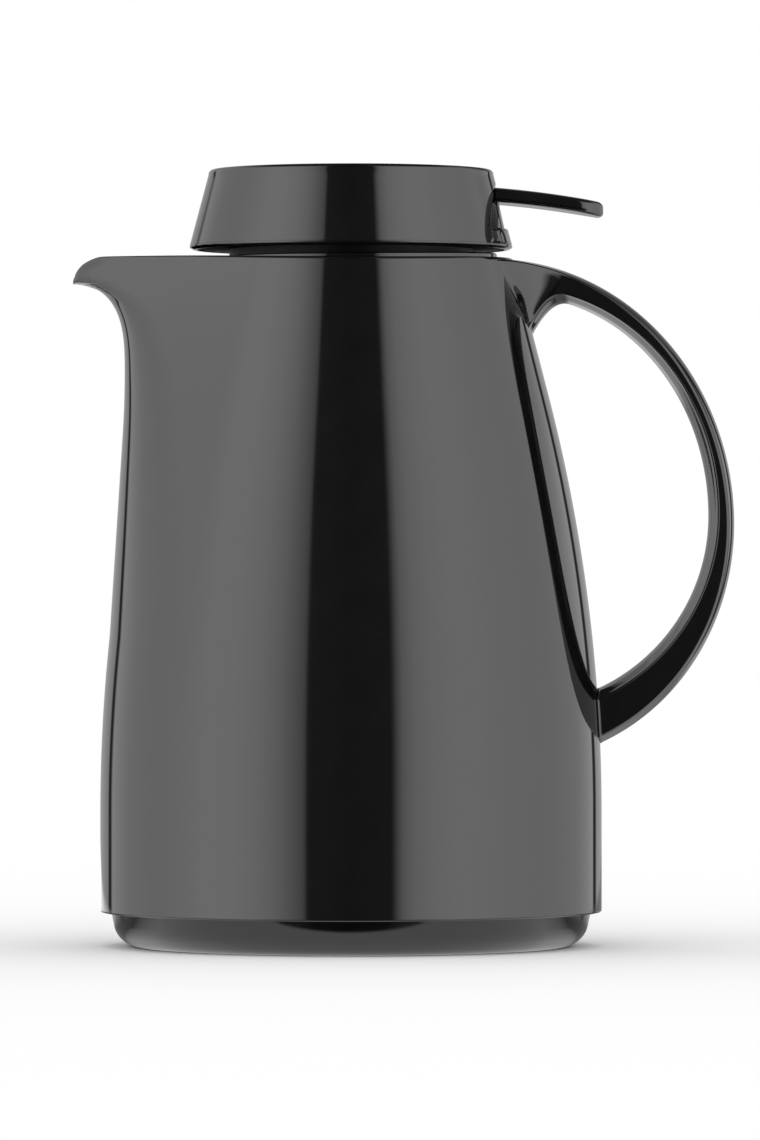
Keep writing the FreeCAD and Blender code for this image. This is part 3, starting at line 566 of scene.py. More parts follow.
def egg_radius(away, radius, reach):
    """Radius of a round section drawn out to a rounded nose, at an angle away from the nose."""
    away = abs(away)
    if reach <= radius + 1e-4:
        return radius
    nose = radius * math.exp(-NOSE_TAPER * (reach - radius) / radius)
    centre = reach - nose
    wrap = math.acos((radius - nose) / centre)
    nose_end = math.atan2(nose * math.sin(wrap), centre + nose * math.cos(wrap))
    if away >= wrap:
        return radius
    if away >= nose_end:
        return radius / math.cos(wrap - away)
    return centre * math.cos(away) + math.sqrt(nose ** 2 - (centre * math.sin(away)) ** 2)


def flank_reach(z):
    """Reach that the smooth sides of the spout follow, without the lip's sharp underside."""
    share = clamped((z - HOLLOW_Z) / (RIM_TOP - HOLLOW_Z))
    return HOLLOW_REACH + (NOSE_REACH - HOLLOW_REACH) * share ** FLANK_POWER


def rounded_reach(away, z):
    """Reach of the spout, with the lip's lower edge rounded more and more away from its tip."""
    if z <= HOLLOW_Z:
        return spout_reach(z)
    spread = LIP_ROUND_HEIGHT * min(abs(away) / LIP_ROUND_ANGLE, 1.0)
    total = 0.0
    weights = 0.0
    for step in range(-LIP_ROUND_STEPS, LIP_ROUND_STEPS + 1):
        t = step / (LIP_ROUND_STEPS + 1.0)
        weight = 1.0 - t * t
        total += weight * spout_reach(max(z + spread * t, HOLLOW_Z))
        weights += weight
    side = smoothed(abs(away) / FLANK_ANGLE)
    return total / weights * (1.0 - side) + flank_reach(z) * side


def outer_radius(away, z):
    """Outside of the wall at an angle from the lip and a height."""
    return egg_radius(away, round_radius(z), rounded_reach(away, z))


def inner_radius(away, z):
    """Inside of the wall, with the pouring gutter running out to the lip."""
    reach = spout_reach(z) - WALL
    if z > HOLLOW_Z:
        reach = flare_reach(z, HOLLOW_REACH - WALL, LIP_Z - 0.1, TIP_REACH - LIP_WALL)
    return min(egg_radius(away, round_radius(z) - WALL, reach), outer_radius(away, z) - LEAST_WALL)


def rim_height(away):
    """Top of the wall, lowest at the two sides, with a round gutter at the lip."""
    edge = RIM_TOP - RIM_HANDLE_DROP * (1.0 - math.cos(away)) - RIM_SIDE_DROP * math.sin(away) ** 2
    return edge - (edge - LIP_Z) * math.exp(-(abs(away) / GUTTER_ANGLE) ** GUTTER_POWER)


def outside_heights():
    """Heights of the outside up to the lip's tip, closer together where the lip swings out."""
    heights = [11.0, 11.4, 16.0, 24.0, 32.0] + spaced(FLANK_START, HOLLOW_Z, 46)
    for share in spaced(0.0, 1.0, 27)[1:]:
        heights.append(HOLLOW_Z + (TIP_Z - HOLLOW_Z) * math.sin(0.5 * math.pi * share) ** (2.0 / 3.0))
    return heights


def basin_outline(wall_foot):
    """Outline of the basin's floor, the collar and the seat flange, from the foot of the wall inwards."""
    fillet_end = wall_foot - BASIN_FILLET
    outline = arc(fillet_end, BASIN_FLOOR + BASIN_FILLET, BASIN_FILLET, BASIN_FILLET,
                  [-turn for turn in CORNER_TURNS])
    outline += [(COLLAR_BORE + (fillet_end - COLLAR_BORE) * s, BASIN_FLOOR) for s in (0.66, 0.33)]
    collar_outside = COLLAR_BORE + COLLAR_WALL
    return outline + [
        (COLLAR_BORE + 0.9, BASIN_FLOOR),
        (COLLAR_BORE + 0.3, BASIN_FLOOR - 0.25),
        (COLLAR_BORE, BASIN_FLOOR - 0.9),
        (COLLAR_BORE, 182.0),
        (COLLAR_BORE, FLANGE_TOP + FLANGE_EDGE),
        (COLLAR_BORE - FLANGE_EDGE, FLANGE_TOP),
        (FLANGE_HOLE + FLANGE_EDGE, FLANGE_TOP),
        (FLANGE_HOLE, FLANGE_TOP - FLANGE_EDGE),
        (FLANGE_HOLE, FLANGE_BOTTOM),
        (collar_outside, FLANGE_BOTTOM),
        (collar_outside, BASIN_FLOOR - WALL),
    ]


def jacket_profile(away):
    """Closed (radius, z) outline of the wall, basin and collar at one angle from the lip."""
    top = rim_height(away)
    edge = RIM_ROUND * min((top - TIP_Z) / RIM_ROUND_RUN, 1.0)
    shoulder = top - edge
    outline = arc(JACKET_RADIUS - FOOT_ROUND, JACKET_BOTTOM + FOOT_ROUND, FOOT_ROUND, FOOT_ROUND,
                  (-90.0, -60.0, -30.0, 0.0))
    for z in outside_heights() + spaced(TIP_Z, shoulder, 11)[1:]:
        outline.append((outer_radius(away, z), z))
    out = outline[-1][0]
    inn = inner_radius(away, shoulder)
    outline += arc((out + inn) / 2, shoulder, (out - inn) / 2, edge, spaced(0.0, 180.0, 9)[1:-1])
    inside_heights = spaced(shoulder, GUTTER_FOOT, 9)[:-1]
    inside_heights += spaced(GUTTER_FOOT, BASIN_FLOOR + BASIN_FILLET, 13)
    for z in inside_heights:
        outline.append((inner_radius(away, z), z))
    outline += basin_outline(outline[-1][0])
    for z in (BASIN_FLOOR - WALL, 176.0, 165.0, 150.0, 130.0, 110.0, 90.0, 65.0, 40.0, JACKET_BOTTOM):
        outline.append((outer_radius(away, z) - WALL, z))
    return outline


def make_jacket():
    """Shell with lip, basin and collar, with its columns closer together near the lip."""
    count = 420
    rings = []
    for i in range(count):
        s = 2.0 * i / count - 1.0
        away = math.pi * (0.4 * s + 0.6 * s ** 3)
        rings.append(spun(jacket_profile(away), away + math.pi))
    add_piece("jacket_shell", skin(rings, along=True), "carafe", jacket_gloss, "jacket")


def thread_ridge(start):
    """One thread ridge in the collar that fades in and out at its ends."""
    half = THREAD_HALF_WIDTH
    rings = []
    for share in spaced(0.0, 1.0, 41):
        angle = start + 2.0 * math.pi * THREAD_RISE * share / THREAD_LEAD
        fade = math.sin(0.5 * math.pi * min(share / THREAD_FADE, (1.0 - share) / THREAD_FADE, 1.0))
        tip = THREAD_ROOT + (THREAD_CREST - THREAD_ROOT) * max(fade, 0.02)
        z = THREAD_LOW + half + THREAD_RISE * share
        section = [(THREAD_ROOT, z - half), (tip, z - half * 0.5), (tip, z + half * 0.5),
                   (THREAD_ROOT, z + half)]
        rings.append(spun(section, angle))
    return capped(rings)


def make_collar_threads():
    """Ridges in the collar that hold the stopper."""
    ridges = joined([thread_ridge(start) for start in full_turn(THREAD_STARTS)])
    add_piece("collar_threads", ridges, "carafe", jacket_gloss)


# Handle

def grip_edges(angle_deg):
    """Outer and inner edge of the loop and its half width at an angle about the loop's middle."""
    cos = math.cos(math.radians(angle_deg))
    sin = math.sin(math.radians(angle_deg))
    inner_x = GRIP_CENTRE_X + (GRIP_REACH - GRIP_THICKNESS - GRIP_CENTRE_X) * cos
    if angle_deg >= 0.0:
        outer_x = GRIP_TOP_CENTRE_X + (GRIP_REACH - GRIP_TOP_CENTRE_X) * cos
        drop = ROOT_DROP * (max(angle_deg - ROOT_DROP_START, 0.0) / (90.0 - ROOT_DROP_START)) ** 2
        outer = Vector((outer_x, 0.0, GRIP_OUTER_CENTRE_Z + GRIP_OUTER_RISE * sin))
        inner = Vector((inner_x, 0.0, GRIP_INNER_CENTRE_Z + GRIP_INNER_RISE * sin - drop))
        return outer, inner, GRIP_HALF_WIDTH
    outer_x = GRIP_CENTRE_X + (GRIP_REACH - GRIP_CENTRE_X) * cos
    outer = Vector((outer_x, 0.0, GRIP_OUTER_CENTRE_Z + GRIP_OUTER_FALL * sin))
    inner = Vector((inner_x, 0.0, GRIP_INNER_CENTRE_Z + GRIP_INNER_FALL * sin))
    return outer, inner, GRIP_HALF_WIDTH + GRIP_FOOT_WIDENING * (angle_deg / 90.0) ** 2


def root_half_width(x, z, half):
    """Half width of the upper root, which meets the jacket in a round fillet, wider towards the rim."""
    radius = round_radius(z)
    flare = smoothed((z - ROOT_FLARE_START) / (ROOT_FLARE_END - ROOT_FLARE_START))
    fillet = ROOT_FILLET + (ROOT_FILLET_AT_RIM - ROOT_FILLET) * flare
    swing = math.asin((half + fillet) / (radius + fillet))
    centre_x = (radius + fillet) * math.cos(swing)
    if x >= centre_x:
        return half
    x = max(x, radius * math.cos(swing))
    return half + fillet - math.sqrt(fillet ** 2 - (centre_x - x) ** 2)


def inner_rise(share):
    """Depth of the loop's inner face at a share of its half width: gentle first, then steeper."""
    if share < INNER_BEND:
        return INNER_BEND_RISE * share / INNER_BEND
    return INNER_BEND_RISE + (INNER_CROWN - INNER_BEND_RISE) * (share - INNER_BEND) / (1.0 - INNER_BEND)


def grip_section(length, outer_crown):
    """Half of the loop's section as (depth from the outer edge, share of the half width, inset)."""
    rounding = []
    for turn in CORNER_TURNS:
        a = math.radians(turn)
        rounding.append((GRIP_CORNER * (1.0 - math.cos(a)), GRIP_CORNER * (1.0 - math.sin(a))))
    half = [(outer_crown * s ** OUTER_CROWN_POWER, s, GRIP_CORNER * s) for s in spaced(0.0, 1.0, 9)]
    half += [(outer_crown + depth, 1.0, inset) for depth, inset in rounding]
    low = outer_crown + GRIP_CORNER
    high = length - INNER_CROWN - GRIP_CORNER
    for share in (0.03, 0.12, 0.24, 0.36, 0.5, 0.64, 0.76, 0.88, 0.97):
        half.append((low + (high - low) * share, 1.0, 0.0))
    half += [(length - INNER_CROWN - depth, 1.0, inset) for depth, inset in reversed(rounding)]
    for share in (1.0, 0.85, 0.7, 0.56, 0.48, 0.44, 0.3, 0.15, 0.0):
        half.append((length - inner_rise(share), share, GRIP_CORNER * share))
    return half


def grip_ring(angle_deg):
    """Closed ring of points around the loop at an angle about its middle."""
    outer, inner, half = grip_edges(angle_deg)
    length = (outer - inner).length
    along = (inner - outer) / length
    root = clamped((angle_deg - ROOT_CROWN_START) / ROOT_CROWN_RUN)
    near = []
    far = []
    for depth, share, inset in grip_section(length, OUTER_CROWN - ROOT_CROWN_LOSS * root):
        p = outer + along * depth
        width = root_half_width(p.x, p.z, half) if angle_deg > ROOT_FILLET_FROM else half
        y = (width - inset) * share
        near.append(Vector((p.x, -y, p.z)))
        far.append(Vector((p.x, y, p.z)))
    return near + list(reversed(far))[1:-1]


def seated_in_wall(p):
    """Point moved out so that it stays inside the jacket's wall."""
    r = math.hypot(p.x, p.y)
    least = round_radius(p.z) - ROOT_SINK
    if r >= least:
        return p
    return Vector((p.x * least / r, p.y * least / r, p.z))


def butt_angle(i):
    """Angle at which one line along the loop's lower end meets the jacket."""
    low = BUTT_LOWEST
    high = BUTT_HIGHEST
    for halving in range(26):
        middle = (low + high) / 2
        p = grip_ring(middle)[i]
        if math.hypot(p.x, p.y) > round_radius(p.z) + BUTT_GAP:
            high = middle
        else:
            low = middle
    return low


def handle_rings():
    """Loop from the rim, down the grip, to its butt end on the jacket."""
    rings = []
    for angle_deg in spaced(90.0, GRIP_JOIN, 71)[:-1]:
        rings.append([seated_in_wall(p) for p in grip_ring(angle_deg)])
    count = len(rings[0])
    ends = [butt_angle(i) for i in range(count)]
    for share in spaced(0.0, 0.99, 96) + [0.9945, 0.9975, 1.0]:
        rings.append([grip_ring(GRIP_JOIN + (end - GRIP_JOIN) * share)[i] for i, end in enumerate(ends)])
    middle = sum(rings[-1], Vector()) / count
    ledge = []
    for p in rings[-2]:
        outward = Vector((0.0, p.y - middle.y, p.z - middle.z)).normalized()
        ledge.append(p + outward * BUTT_LEDGE)
    rings[-2] = ledge
    return rings


def make_handle():
    """Loop handle, closed at both ends."""
    rings = handle_rings()
    points, faces = skin(rings)
    count = len(rings[0])
    low_end = sum(rings[-1], Vector()) / count
    top_end = Vector((round_radius(ROOT_END_Z) - ROOT_SINK, 0.0, ROOT_END_Z))
    for first, centre in ((0, top_end), (len(points) - count, low_end)):
        points.append(centre)
        faces += [(first + i, first + (i + 1) % count, len(points) - 1) for i in range(count)]
    add_piece("handle_loop", (points, faces), "carafe", handle_gloss, "handle", sharp=40.0)


def make_splash_ring():
    """Low wall inside the rim, open towards the lip and rising a little towards the handle."""
    rings = []
    for spin in spaced(-SPLASH_HALF_SPAN, SPLASH_HALF_SPAN, 161):
        a = math.radians(spin)
        top = SPLASH_TOP + SPLASH_HANDLE_RISE * (0.5 + 0.5 * math.cos(a)) ** 4
        section = [(SPLASH_LEDGE, SPLASH_FOOT), (SPLASH_LEDGE, SPLASH_STEP),
                   (SPLASH_OUTER + 0.5, SPLASH_STEP), (SPLASH_OUTER + 0.1, SPLASH_STEP + 0.2),
                   (SPLASH_OUTER, SPLASH_STEP + 0.6), (SPLASH_OUTER, top - 0.5),
                   (SPLASH_OUTER - 0.15, top - 0.15), (SPLASH_OUTER - 0.5, top),
                   (SPLASH_INNER + 0.5, top), (SPLASH_INNER + 0.15, top - 0.15),
                   (SPLASH_INNER, top - 0.5), (SPLASH_INNER, SPLASH_FOOT)]
        rings.append(spun(section, a))
    add_piece("splash_ring", capped(rings), "carafe", jacket_gloss)


# Lid cap

def cap_radius(z):
    """Outer radius of the cap's cone at a height."""
    lean = (CAP_CREASE_RADIUS - CAP_TOP_RADIUS) / (CAP_TOP - CAP_CREASE)
    return CAP_CREASE_RADIUS - lean * (z - CAP_CREASE)


def cap_point(y, z, depth):
    """Point inside the cap's cone by a depth, at a side distance and a height."""
    r = cap_radius(z) - depth
    return (math.sqrt(r * r - y * y), y, z)


def add_to_cap(name, surface, sharp=38.0):
    """Piece that stands for part of the cap."""
    add_piece(name, surface, "lid", lid_gloss, "lid_cap", sharp=sharp)


def notch_reach():
    """Turn of the arch's feet about its own centre, and their turn about the cap's axis, in radians."""
    arch = math.acos((NOTCH_FLOOR - NOTCH_CENTRE) / NOTCH_RADIUS)
    foot = (NOTCH_RADIUS + NOTCH_ROUND) * math.sin(arch) / cap_radius(NOTCH_FLOOR)
    return arch, math.asin(foot) + 0.004


def cap_columns():
    """Turn about the axis, points of the lower edge and start of the cone, for each column of the cap."""
    arch, widest = notch_reach()
    columns = []
    for a in spaced(-arch, arch, 91):
        y0 = NOTCH_RADIUS * math.sin(a)
        z0 = NOTCH_CENTRE + NOTCH_RADIUS * math.cos(a)
        y1 = (NOTCH_RADIUS + NOTCH_ROUND) * math.sin(a)
        z1 = NOTCH_CENTRE + (NOTCH_RADIUS + NOTCH_ROUND) * math.cos(a)
        mid_r = cap_radius((z0 + z1) / 2) - NOTCH_ROUND * 0.15
        mid_y = y0 * 0.7 + y1 * 0.3
        mid_z = z0 * 0.7 + z1 * 0.3
        edge = [cap_point(y0, z0, CAP_WALL), cap_point(y0, z0, NOTCH_ROUND * 0.8),
                (math.sqrt(mid_r ** 2 - mid_y ** 2), mid_y, mid_z)]
        columns.append((math.asin(y1 / cap_radius(z1)), edge, z1))
    foot = [(CAP_CREASE_RADIUS - inset, CAP_CREASE) for inset in (CAP_WALL, 1.0, 0.05)]
    for share in spaced(0.0, 1.0, 261)[1:-1]:
        spin = widest + (2.0 * math.pi - 2.0 * widest) * share
        columns.append((spin, spun(foot, spin), CAP_CREASE + 0.05))
    return columns


def make_cap_shell():
    """Cone with a flat top, cut by the arched notch over the handle."""
    rings = []
    for spin, edge, low in cap_columns():
        profile = [(cap_radius(z), z) for z in spaced(low, CAP_CONE_TOP, 12)]
        profile += arc(cap_radius(CAP_CONE_TOP) - CAP_EDGE, CAP_TOP - CAP_EDGE, CAP_EDGE, CAP_EDGE,
                       (12.0, 28.0, 44.0, 60.0, 76.0, 90.0))
        profile += [(CAP_TOP_RADIUS * s, CAP_TOP) for s in (0.93, 0.75, 0.5, 0.25, 0.0)]
        profile += [(CAP_TOP_RADIUS * s, CAP_TOP - CAP_WALL) for s in (0.0, 0.3, 0.6, 0.9)]
        inner_top = CAP_TOP - CAP_WALL - 0.7
        inner_middle = (inner_top + edge[0][2]) / 2
        profile += [(cap_radius(z) - CAP_WALL, z) for z in (inner_top, inner_middle)]
        rings.append(edge + spun(profile, spin))
    add_to_cap("lid_cap_shell", skin(rings, along=True), sharp=32.0)


def make_cap_bead():
    """Rounded bead under the crease."""
    bead = [(CAP_CREASE_RADIUS - inset, z) for inset, z in (
        (CAP_WALL, CAP_BOTTOM), (1.3, CAP_BOTTOM), (1.05, CAP_BOTTOM + 0.06), (0.22, CAP_BOTTOM + 0.5),
        (0.08, CAP_BOTTOM + 0.62), (0.03, CAP_BOTTOM + 0.72), (0.0, CAP_CREASE - 0.15),
        (0.03, CAP_CREASE), (0.12, CAP_CREASE + 0.06), (CAP_WALL, CAP_CREASE + 0.06))]
    rings = [spun(bead, a) for a in full_turn(300)]
    add_to_cap("lid_cap_bead", skin(rings, along=True), sharp=50.0)


def make_notch_sill():
    """Band that closes the cap under the notch."""
    spin_end = notch_reach()[1] + 0.003
    floor_radius = cap_radius(NOTCH_FLOOR)
    section = [
        (CAP_CREASE_RADIUS - CAP_WALL, CAP_CREASE - FILL_SINK),
        (CAP_CREASE_RADIUS - 0.06, CAP_CREASE - FILL_SINK),
        (floor_radius - 0.02, NOTCH_FLOOR - 0.3),
        (floor_radius - 0.35, NOTCH_FLOOR),
        (floor_radius - CAP_WALL, NOTCH_FLOOR),
    ]
    rings = [spun(section, a) for a in spaced(-spin_end, spin_end, 61)]
    add_to_cap("lid_notch_sill", capped(rings))


def make_sill_plate():
    """Low plate across the notch, with rounded ends, in front of the lever's shield."""
    foot = NOTCH_FLOOR - FILL_SINK
    rings = []
    for share in spaced(-1.0, 1.0, 81):
        y = SILL_HALF_WIDTH * math.sin(0.5 * math.pi * share)
        side = max(abs(y) - SILL_HALF_WIDTH + SILL_SIDE_ROUND, 0.0)
        turn_in = SILL_SIDE_ROUND - math.sqrt(SILL_SIDE_ROUND ** 2 - side ** 2)
        end = max(abs(y) - SILL_HALF_WIDTH + SILL_TOP_ROUND, 0.0) / SILL_TOP_ROUND
        top = SILL_TOP - SILL_TOP_ROUND_DROP * (1.0 - math.sqrt(1.0 - end ** 2))
        section = ((SILL_THICKNESS, foot), (0.0, foot), (0.0, (NOTCH_FLOOR + top) / 2), (0.0, top - 0.3),
                   (0.1, top - 0.08), (0.3, top), (SILL_THICKNESS, top))
        rings.append([cap_point(y, z, depth + turn_in) for depth, z in section])
    add_to_cap("lid_sill_plate", capped(rings), sharp=50.0)


def notch_corner(sign):
    """Small plate that closes the notch beside the sill plate, on one side."""
    foot = NOTCH_FLOOR - FILL_SINK
    rings = []
    for y in spaced(SILL_HALF_WIDTH - 0.6, NOTCH_CORNER_WIDTH, 9):
        arch = NOTCH_CENTRE + math.sqrt(NOTCH_RADIUS ** 2 - y * y) + FILL_SINK
        top = min(SHIELD_BOTTOM - 0.2, arch)
        section = ((0.9, foot), (0.62, foot), (0.62, top), (0.9, top))
        rings.append([cap_point(sign * y, z, depth) for depth, z in section])
    return capped(rings)


def cap_post(angle_deg):
    """Post under the cap's top, with a peg that sits in the carrier."""
    x = POST_CIRCLE * math.cos(math.radians(angle_deg))
    y = POST_CIRCLE * math.sin(math.radians(angle_deg))
    cap_inside = CAP_TOP - CAP_WALL
    rings = []
    for r, z in ((PEG_RADIUS, PEG_BOTTOM), (PEG_RADIUS, PEG_TOP), (POST_RADIUS, PEG_TOP),
                 (POST_RADIUS, cap_inside - 1.0), (POST_RADIUS + 1.2, cap_inside + 0.2)):
        rings.append([(x + r * math.cos(t), y + r * math.sin(t), z) for t in full_turn(28)])
    return capped(rings)


def make_cap():
    """Cap with its bead, the fillings of the notch and the posts."""
    make_cap_shell()
    make_cap_bead()
    make_notch_sill()
    make_sill_plate()
    add_to_cap("lid_notch_corners", joined([notch_corner(-1.0), notch_corner(1.0)]))
    add_to_cap("lid_cap_posts", joined([cap_post(angle_deg) for angle_deg in POST_ANGLES]))


# Lever

def add_to_lever(name, surface, sharp=38.0):
    """Piece that stands for part of the lever."""
    add_piece(name, surface, "lever", lever_gloss, "lever", sharp=sharp)


def tongue_ring(x):
    """Section of the tongue at a distance from the lid's axis."""
    half = TONGUE_HALF_WIDTH
    corner = x - TONGUE_TIP + TONGUE_CORNER
    if corner > 0.0:
        half += math.sqrt(max(TONGUE_CORNER ** 2 - corner ** 2, 0.0)) - TONGUE_CORNER
    thick = TONGUE_HALF_THICKNESS
    nose = (x - TONGUE_TIP + TONGUE_NOSE) / TONGUE_NOSE
    if nose > 0.0:
        thinning = TONGUE_HALF_THICKNESS - TONGUE_HALF_THICKNESS_AT_TIP
        thick = TONGUE_HALF_THICKNESS_AT_TIP + thinning * math.sqrt(max(1.0 - nose ** 2, 0.0))
    run = x - TONGUE_TOP_X
    middle = TONGUE_TOP_Z - TONGUE_SLOPE * run - TONGUE_BEND * run * run - TONGUE_HALF_THICKNESS
    droop = TONGUE_DROOP - TONGUE_DROOP_LOSS * (x - TONGUE_START) / (TONGUE_TIP - TONGUE_START)
    steps = 72
    ring = []
    for i in range(steps):
        turn = 2.0 * math.pi * (i + 0.5) / steps
        v = signed_power(math.cos(turn), TONGUE_SIDE_POWER)
        w = signed_power(math.sin(turn), TONGUE_FACE_POWER)
        ring.append((x, half * v, middle + thick * w - droop * v * v))
    return ring


def make_tongue():
    """Thumb tongue with rounded corners and a thin nose."""
    stations = spaced(TONGUE_START, TONGUE_TIP - TONGUE_CORNER, 26)
    for share in spaced(0.0, 1.0, 17)[1:]:
        stations.append(TONGUE_TIP - TONGUE_CORNER * (1.0 - math.sin(0.5 * math.pi * share)))
    add_to_lever("lever_tongue", capped([tongue_ring(x) for x in stations]), sharp=50.0)


def make_shield():
    """Curved shield under the tongue that fills the cap's notch."""
    low_x = cap_radius(SHIELD_BOTTOM) - SHIELD_LOW_INSET
    top_x = cap_radius(SHIELD_TOP) - SHIELD_TOP_INSET
    lean = (top_x - low_x) / (SHIELD_TOP - SHIELD_BOTTOM)
    axis_x = (low_x + top_x) / 2 - SHIELD_ROUND
    arch = NOTCH_RADIUS - SHIELD_GAP
    section = ((0.0, SHIELD_THICKNESS), (0.0, SHIELD_EDGE), (0.03, 0.0), (0.25, 0.0), (0.5, 0.0),
               (0.75, 0.0), (0.97, 0.0), (1.0, SHIELD_EDGE), (1.0, SHIELD_THICKNESS),
               (0.5, SHIELD_THICKNESS))
    rings = []
    for spin in spaced(-SHIELD_HALF_SPAN, SHIELD_HALF_SPAN, 65):
        cos = math.cos(math.radians(spin))
        sin = math.sin(math.radians(spin))
        top = SHIELD_FIRST_TOP
        for step in range(12):
            r = low_x - axis_x + lean * (top - SHIELD_BOTTOM)
            top = NOTCH_CENTRE + math.sqrt(max(arch ** 2 - (r * sin) ** 2, 0.0))
        rise = max(top - SHIELD_BOTTOM, SHIELD_LEAST_RISE)
        ring = []
        for share, depth in section:
            z = SHIELD_BOTTOM + rise * share
            r = low_x - axis_x + lean * (z - SHIELD_BOTTOM) - depth
            ring.append((axis_x + r * cos, r * sin, z))
        rings.append(ring)
    add_to_lever("lever_shield", capped(rings), sharp=40.0)


def lever_hub():
    """Hub about the hinge pin."""
    rings = []
    for y, r in ((-HUB_HALF_WIDTH, HUB_RADIUS - EDGE_CUT), (EDGE_CUT - HUB_HALF_WIDTH, HUB_RADIUS),
                 (HUB_HALF_WIDTH - EDGE_CUT, HUB_RADIUS), (HUB_HALF_WIDTH, HUB_RADIUS - EDGE_CUT)):
        rings.append([(PIN_X + r * math.cos(t), y, PIN_Z + r * math.sin(t)) for t in full_turn(40)])
    return capped(rings)


def lever_arm():
    """Arm from the hub to the shield and tongue."""
    rings = []
    for y, inset in ((-ARM_HALF_WIDTH, EDGE_CUT), (EDGE_CUT - ARM_HALF_WIDTH, 0.0),
                     (ARM_HALF_WIDTH - EDGE_CUT, 0.0), (ARM_HALF_WIDTH, EDGE_CUT)):
        outline = ((PIN_X + 2.0, PIN_Z - 2.0 + inset), (ARM_END_X, PIN_Z + inset),
                   (ARM_END_X, ARM_END_TOP - inset), (ARM_END_X - 1.8, ARM_END_TOP + 0.2 - inset),
                   (PIN_X, PIN_Z + 2.4 - inset))
        rings.append([(x, y, z) for x, z in outline])
    return capped(rings)


def fork_tine(sign):
    """Tine beside the valve stem, with a round end under the lift collar."""
    rings = []
    for offset, inset in ((FORK_NEAR, FORK_CUT), (FORK_NEAR + FORK_CUT_RUN, 0.0),
                          (FORK_FAR - FORK_CUT_RUN, 0.0), (FORK_FAR, FORK_CUT)):
        half = FORK_HALF_HEIGHT - inset
        radius = FORK_EYE_RADIUS - inset
        outline = [(PIN_X - 1.0, PIN_Z - half), (PIN_X - 1.0, PIN_Z + half)]
        outline.append((FORK_NECK_X, FORK_EYE_Z + half))
        outline += arc(0.0, FORK_EYE_Z, radius, radius, spaced(60.0, 300.0, 13))
        outline.append((FORK_NECK_X, FORK_EYE_Z - half))
        rings.append([(x, sign * offset, z) for x, z in outline])
    return capped(rings)


def make_lever():
    """Thumb tongue, shield under it, hub, arm and the fork that lifts the valve."""
    make_tongue()
    make_shield()
    add_to_lever("lever_fork", joined([lever_hub(), lever_arm(), fork_tine(-1.0), fork_tine(1.0)]))


# Valve spring

def make_valve_spring():
    """Coil with closed ends under the carrier, built at one length; the real coil shortens as the valve
    plate lifts.
    """
    foot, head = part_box("valve_spring")
    low = foot[2] / MM + SPRING_WIRE
    high = head[2] / MM - SPRING_WIRE
    rings = []
    for share in spaced(0.0, 1.0, 241):
        z = low + (high - low) * eased(share, SPRING_CLOSED_SHARE)
        wire = arc(SPRING_RADIUS, z, SPRING_WIRE, SPRING_WIRE, spaced(0.0, 360.0, 15)[:-1])
        rings.append(spun(wire, 2.0 * math.pi * SPRING_TURNS * share))
    coil = add_piece("valve_spring_coil", capped(rings), "lid", steel, "valve_spring")
    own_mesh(coil)


make_jacket()
make_collar_threads()
make_handle()
make_splash_ring()
make_cap()
make_lever()
make_valve_spring()


# Floor, studio and camera

# Floor as the gloss sees it, in metres: where it ends, and between which limits its painted brightness
# changes, with a painted shadow where the carafe stands.
FLOOR_HALF_SIZE = 6.0
FLOOR_FRONT_EDGE = (-0.088, -0.086)
FLOOR_SIDE_FADE = (0.1, 0.14)
FLOOR_BACK_FADE = (0.7, 1.0)
FLOOR_BACK_START = (0.1, 0.25)
FLOOR_BACK_HALF_WIDTH = (0.18, 0.24)
# Painted light: the mirrored floor's glow beside and behind the carafe, and its share on the spout's
# side.
BESIDE_LIMITS = (-0.035, -0.004)
BESIDE_GLOW = (1.35, 0.2)
BEHIND_LIMITS = (0.06, 0.16)
BEHIND_GLOW = (0.0, 1.2)
SPOUT_SIDE_LIMITS = (0.0, 0.06)
SPOUT_SIDE_SHARE = (1.0, 0.1)
# Painted contact shadow: the mirrored floor is darker close to the base ring.
PAINTED_CONTACT_SHADOW_LIMITS = (0.064, 0.07)
PAINTED_CONTACT_SHADOW_SHARE = (0.4, 1.0)

# What the gloss mirrors, as brightness by compass angle: 0 is the camera's side, + is the handle's side.
STUDIO = (
    (-180.0, 0.45), (-152.0, 0.65), (-149.2, 0.65), (-148.2, 0.06), (-144.0, 0.06), (-142.8, 1.0),
    (-122.0, 1.35), (-102.0, 1.95), (-85.0, 2.6), (-70.0, 3.2), (-57.0, 3.3), (-44.0, 3.0), (-34.0, 2.4),
    (-26.0, 1.6), (-21.5, 1.1), (-19.5, 0.12), (0.0, 0.07), (19.0, 0.1), (21.0, 0.9), (24.0, 1.9),
    (30.0, 2.6), (38.0, 2.95), (50.0, 3.15), (62.0, 3.05), (88.0, 2.4), (106.0, 1.83), (128.0, 1.22),
    (147.5, 1.0), (149.0, 0.06), (153.0, 0.06), (154.5, 0.7), (180.0, 0.45),
)
STUDIO_BRIGHTEST = 4.0

# Places in the studio where that changes with height. Compass limits are in radians, and heights are the
# upward share of the view's direction.
STRIP_LEFT = (-2.606, -2.585)
STRIP_RIGHT = (-2.515, -2.493)
STRIP_FILL_HEIGHT = (0.16, 0.24)
STRIP_FILL = 0.75
CEILING_HEIGHT = (0.6, 0.8)
CEILING_SHARE = 0.07
HIGH_BEHIND_COMPASS = (2.1, 2.6)
HIGH_BEHIND_HEIGHT = (0.12, 0.36)
HIGH_BEHIND_DIMMING = 0.8
LOW_AHEAD_COMPASS = (0.6, 0.85)
LOW_AHEAD_HEIGHT = (-0.12, -0.2)
LOW_AHEAD_DIMMING = 0.93

# Camera, in metres, with its lens in millimetres
CAMERA_PLACE = (0.0087, -2.46, 0.1128)
CAMERA_SENSOR_HEIGHT = 36.0
CAMERA_LENS = 258.9


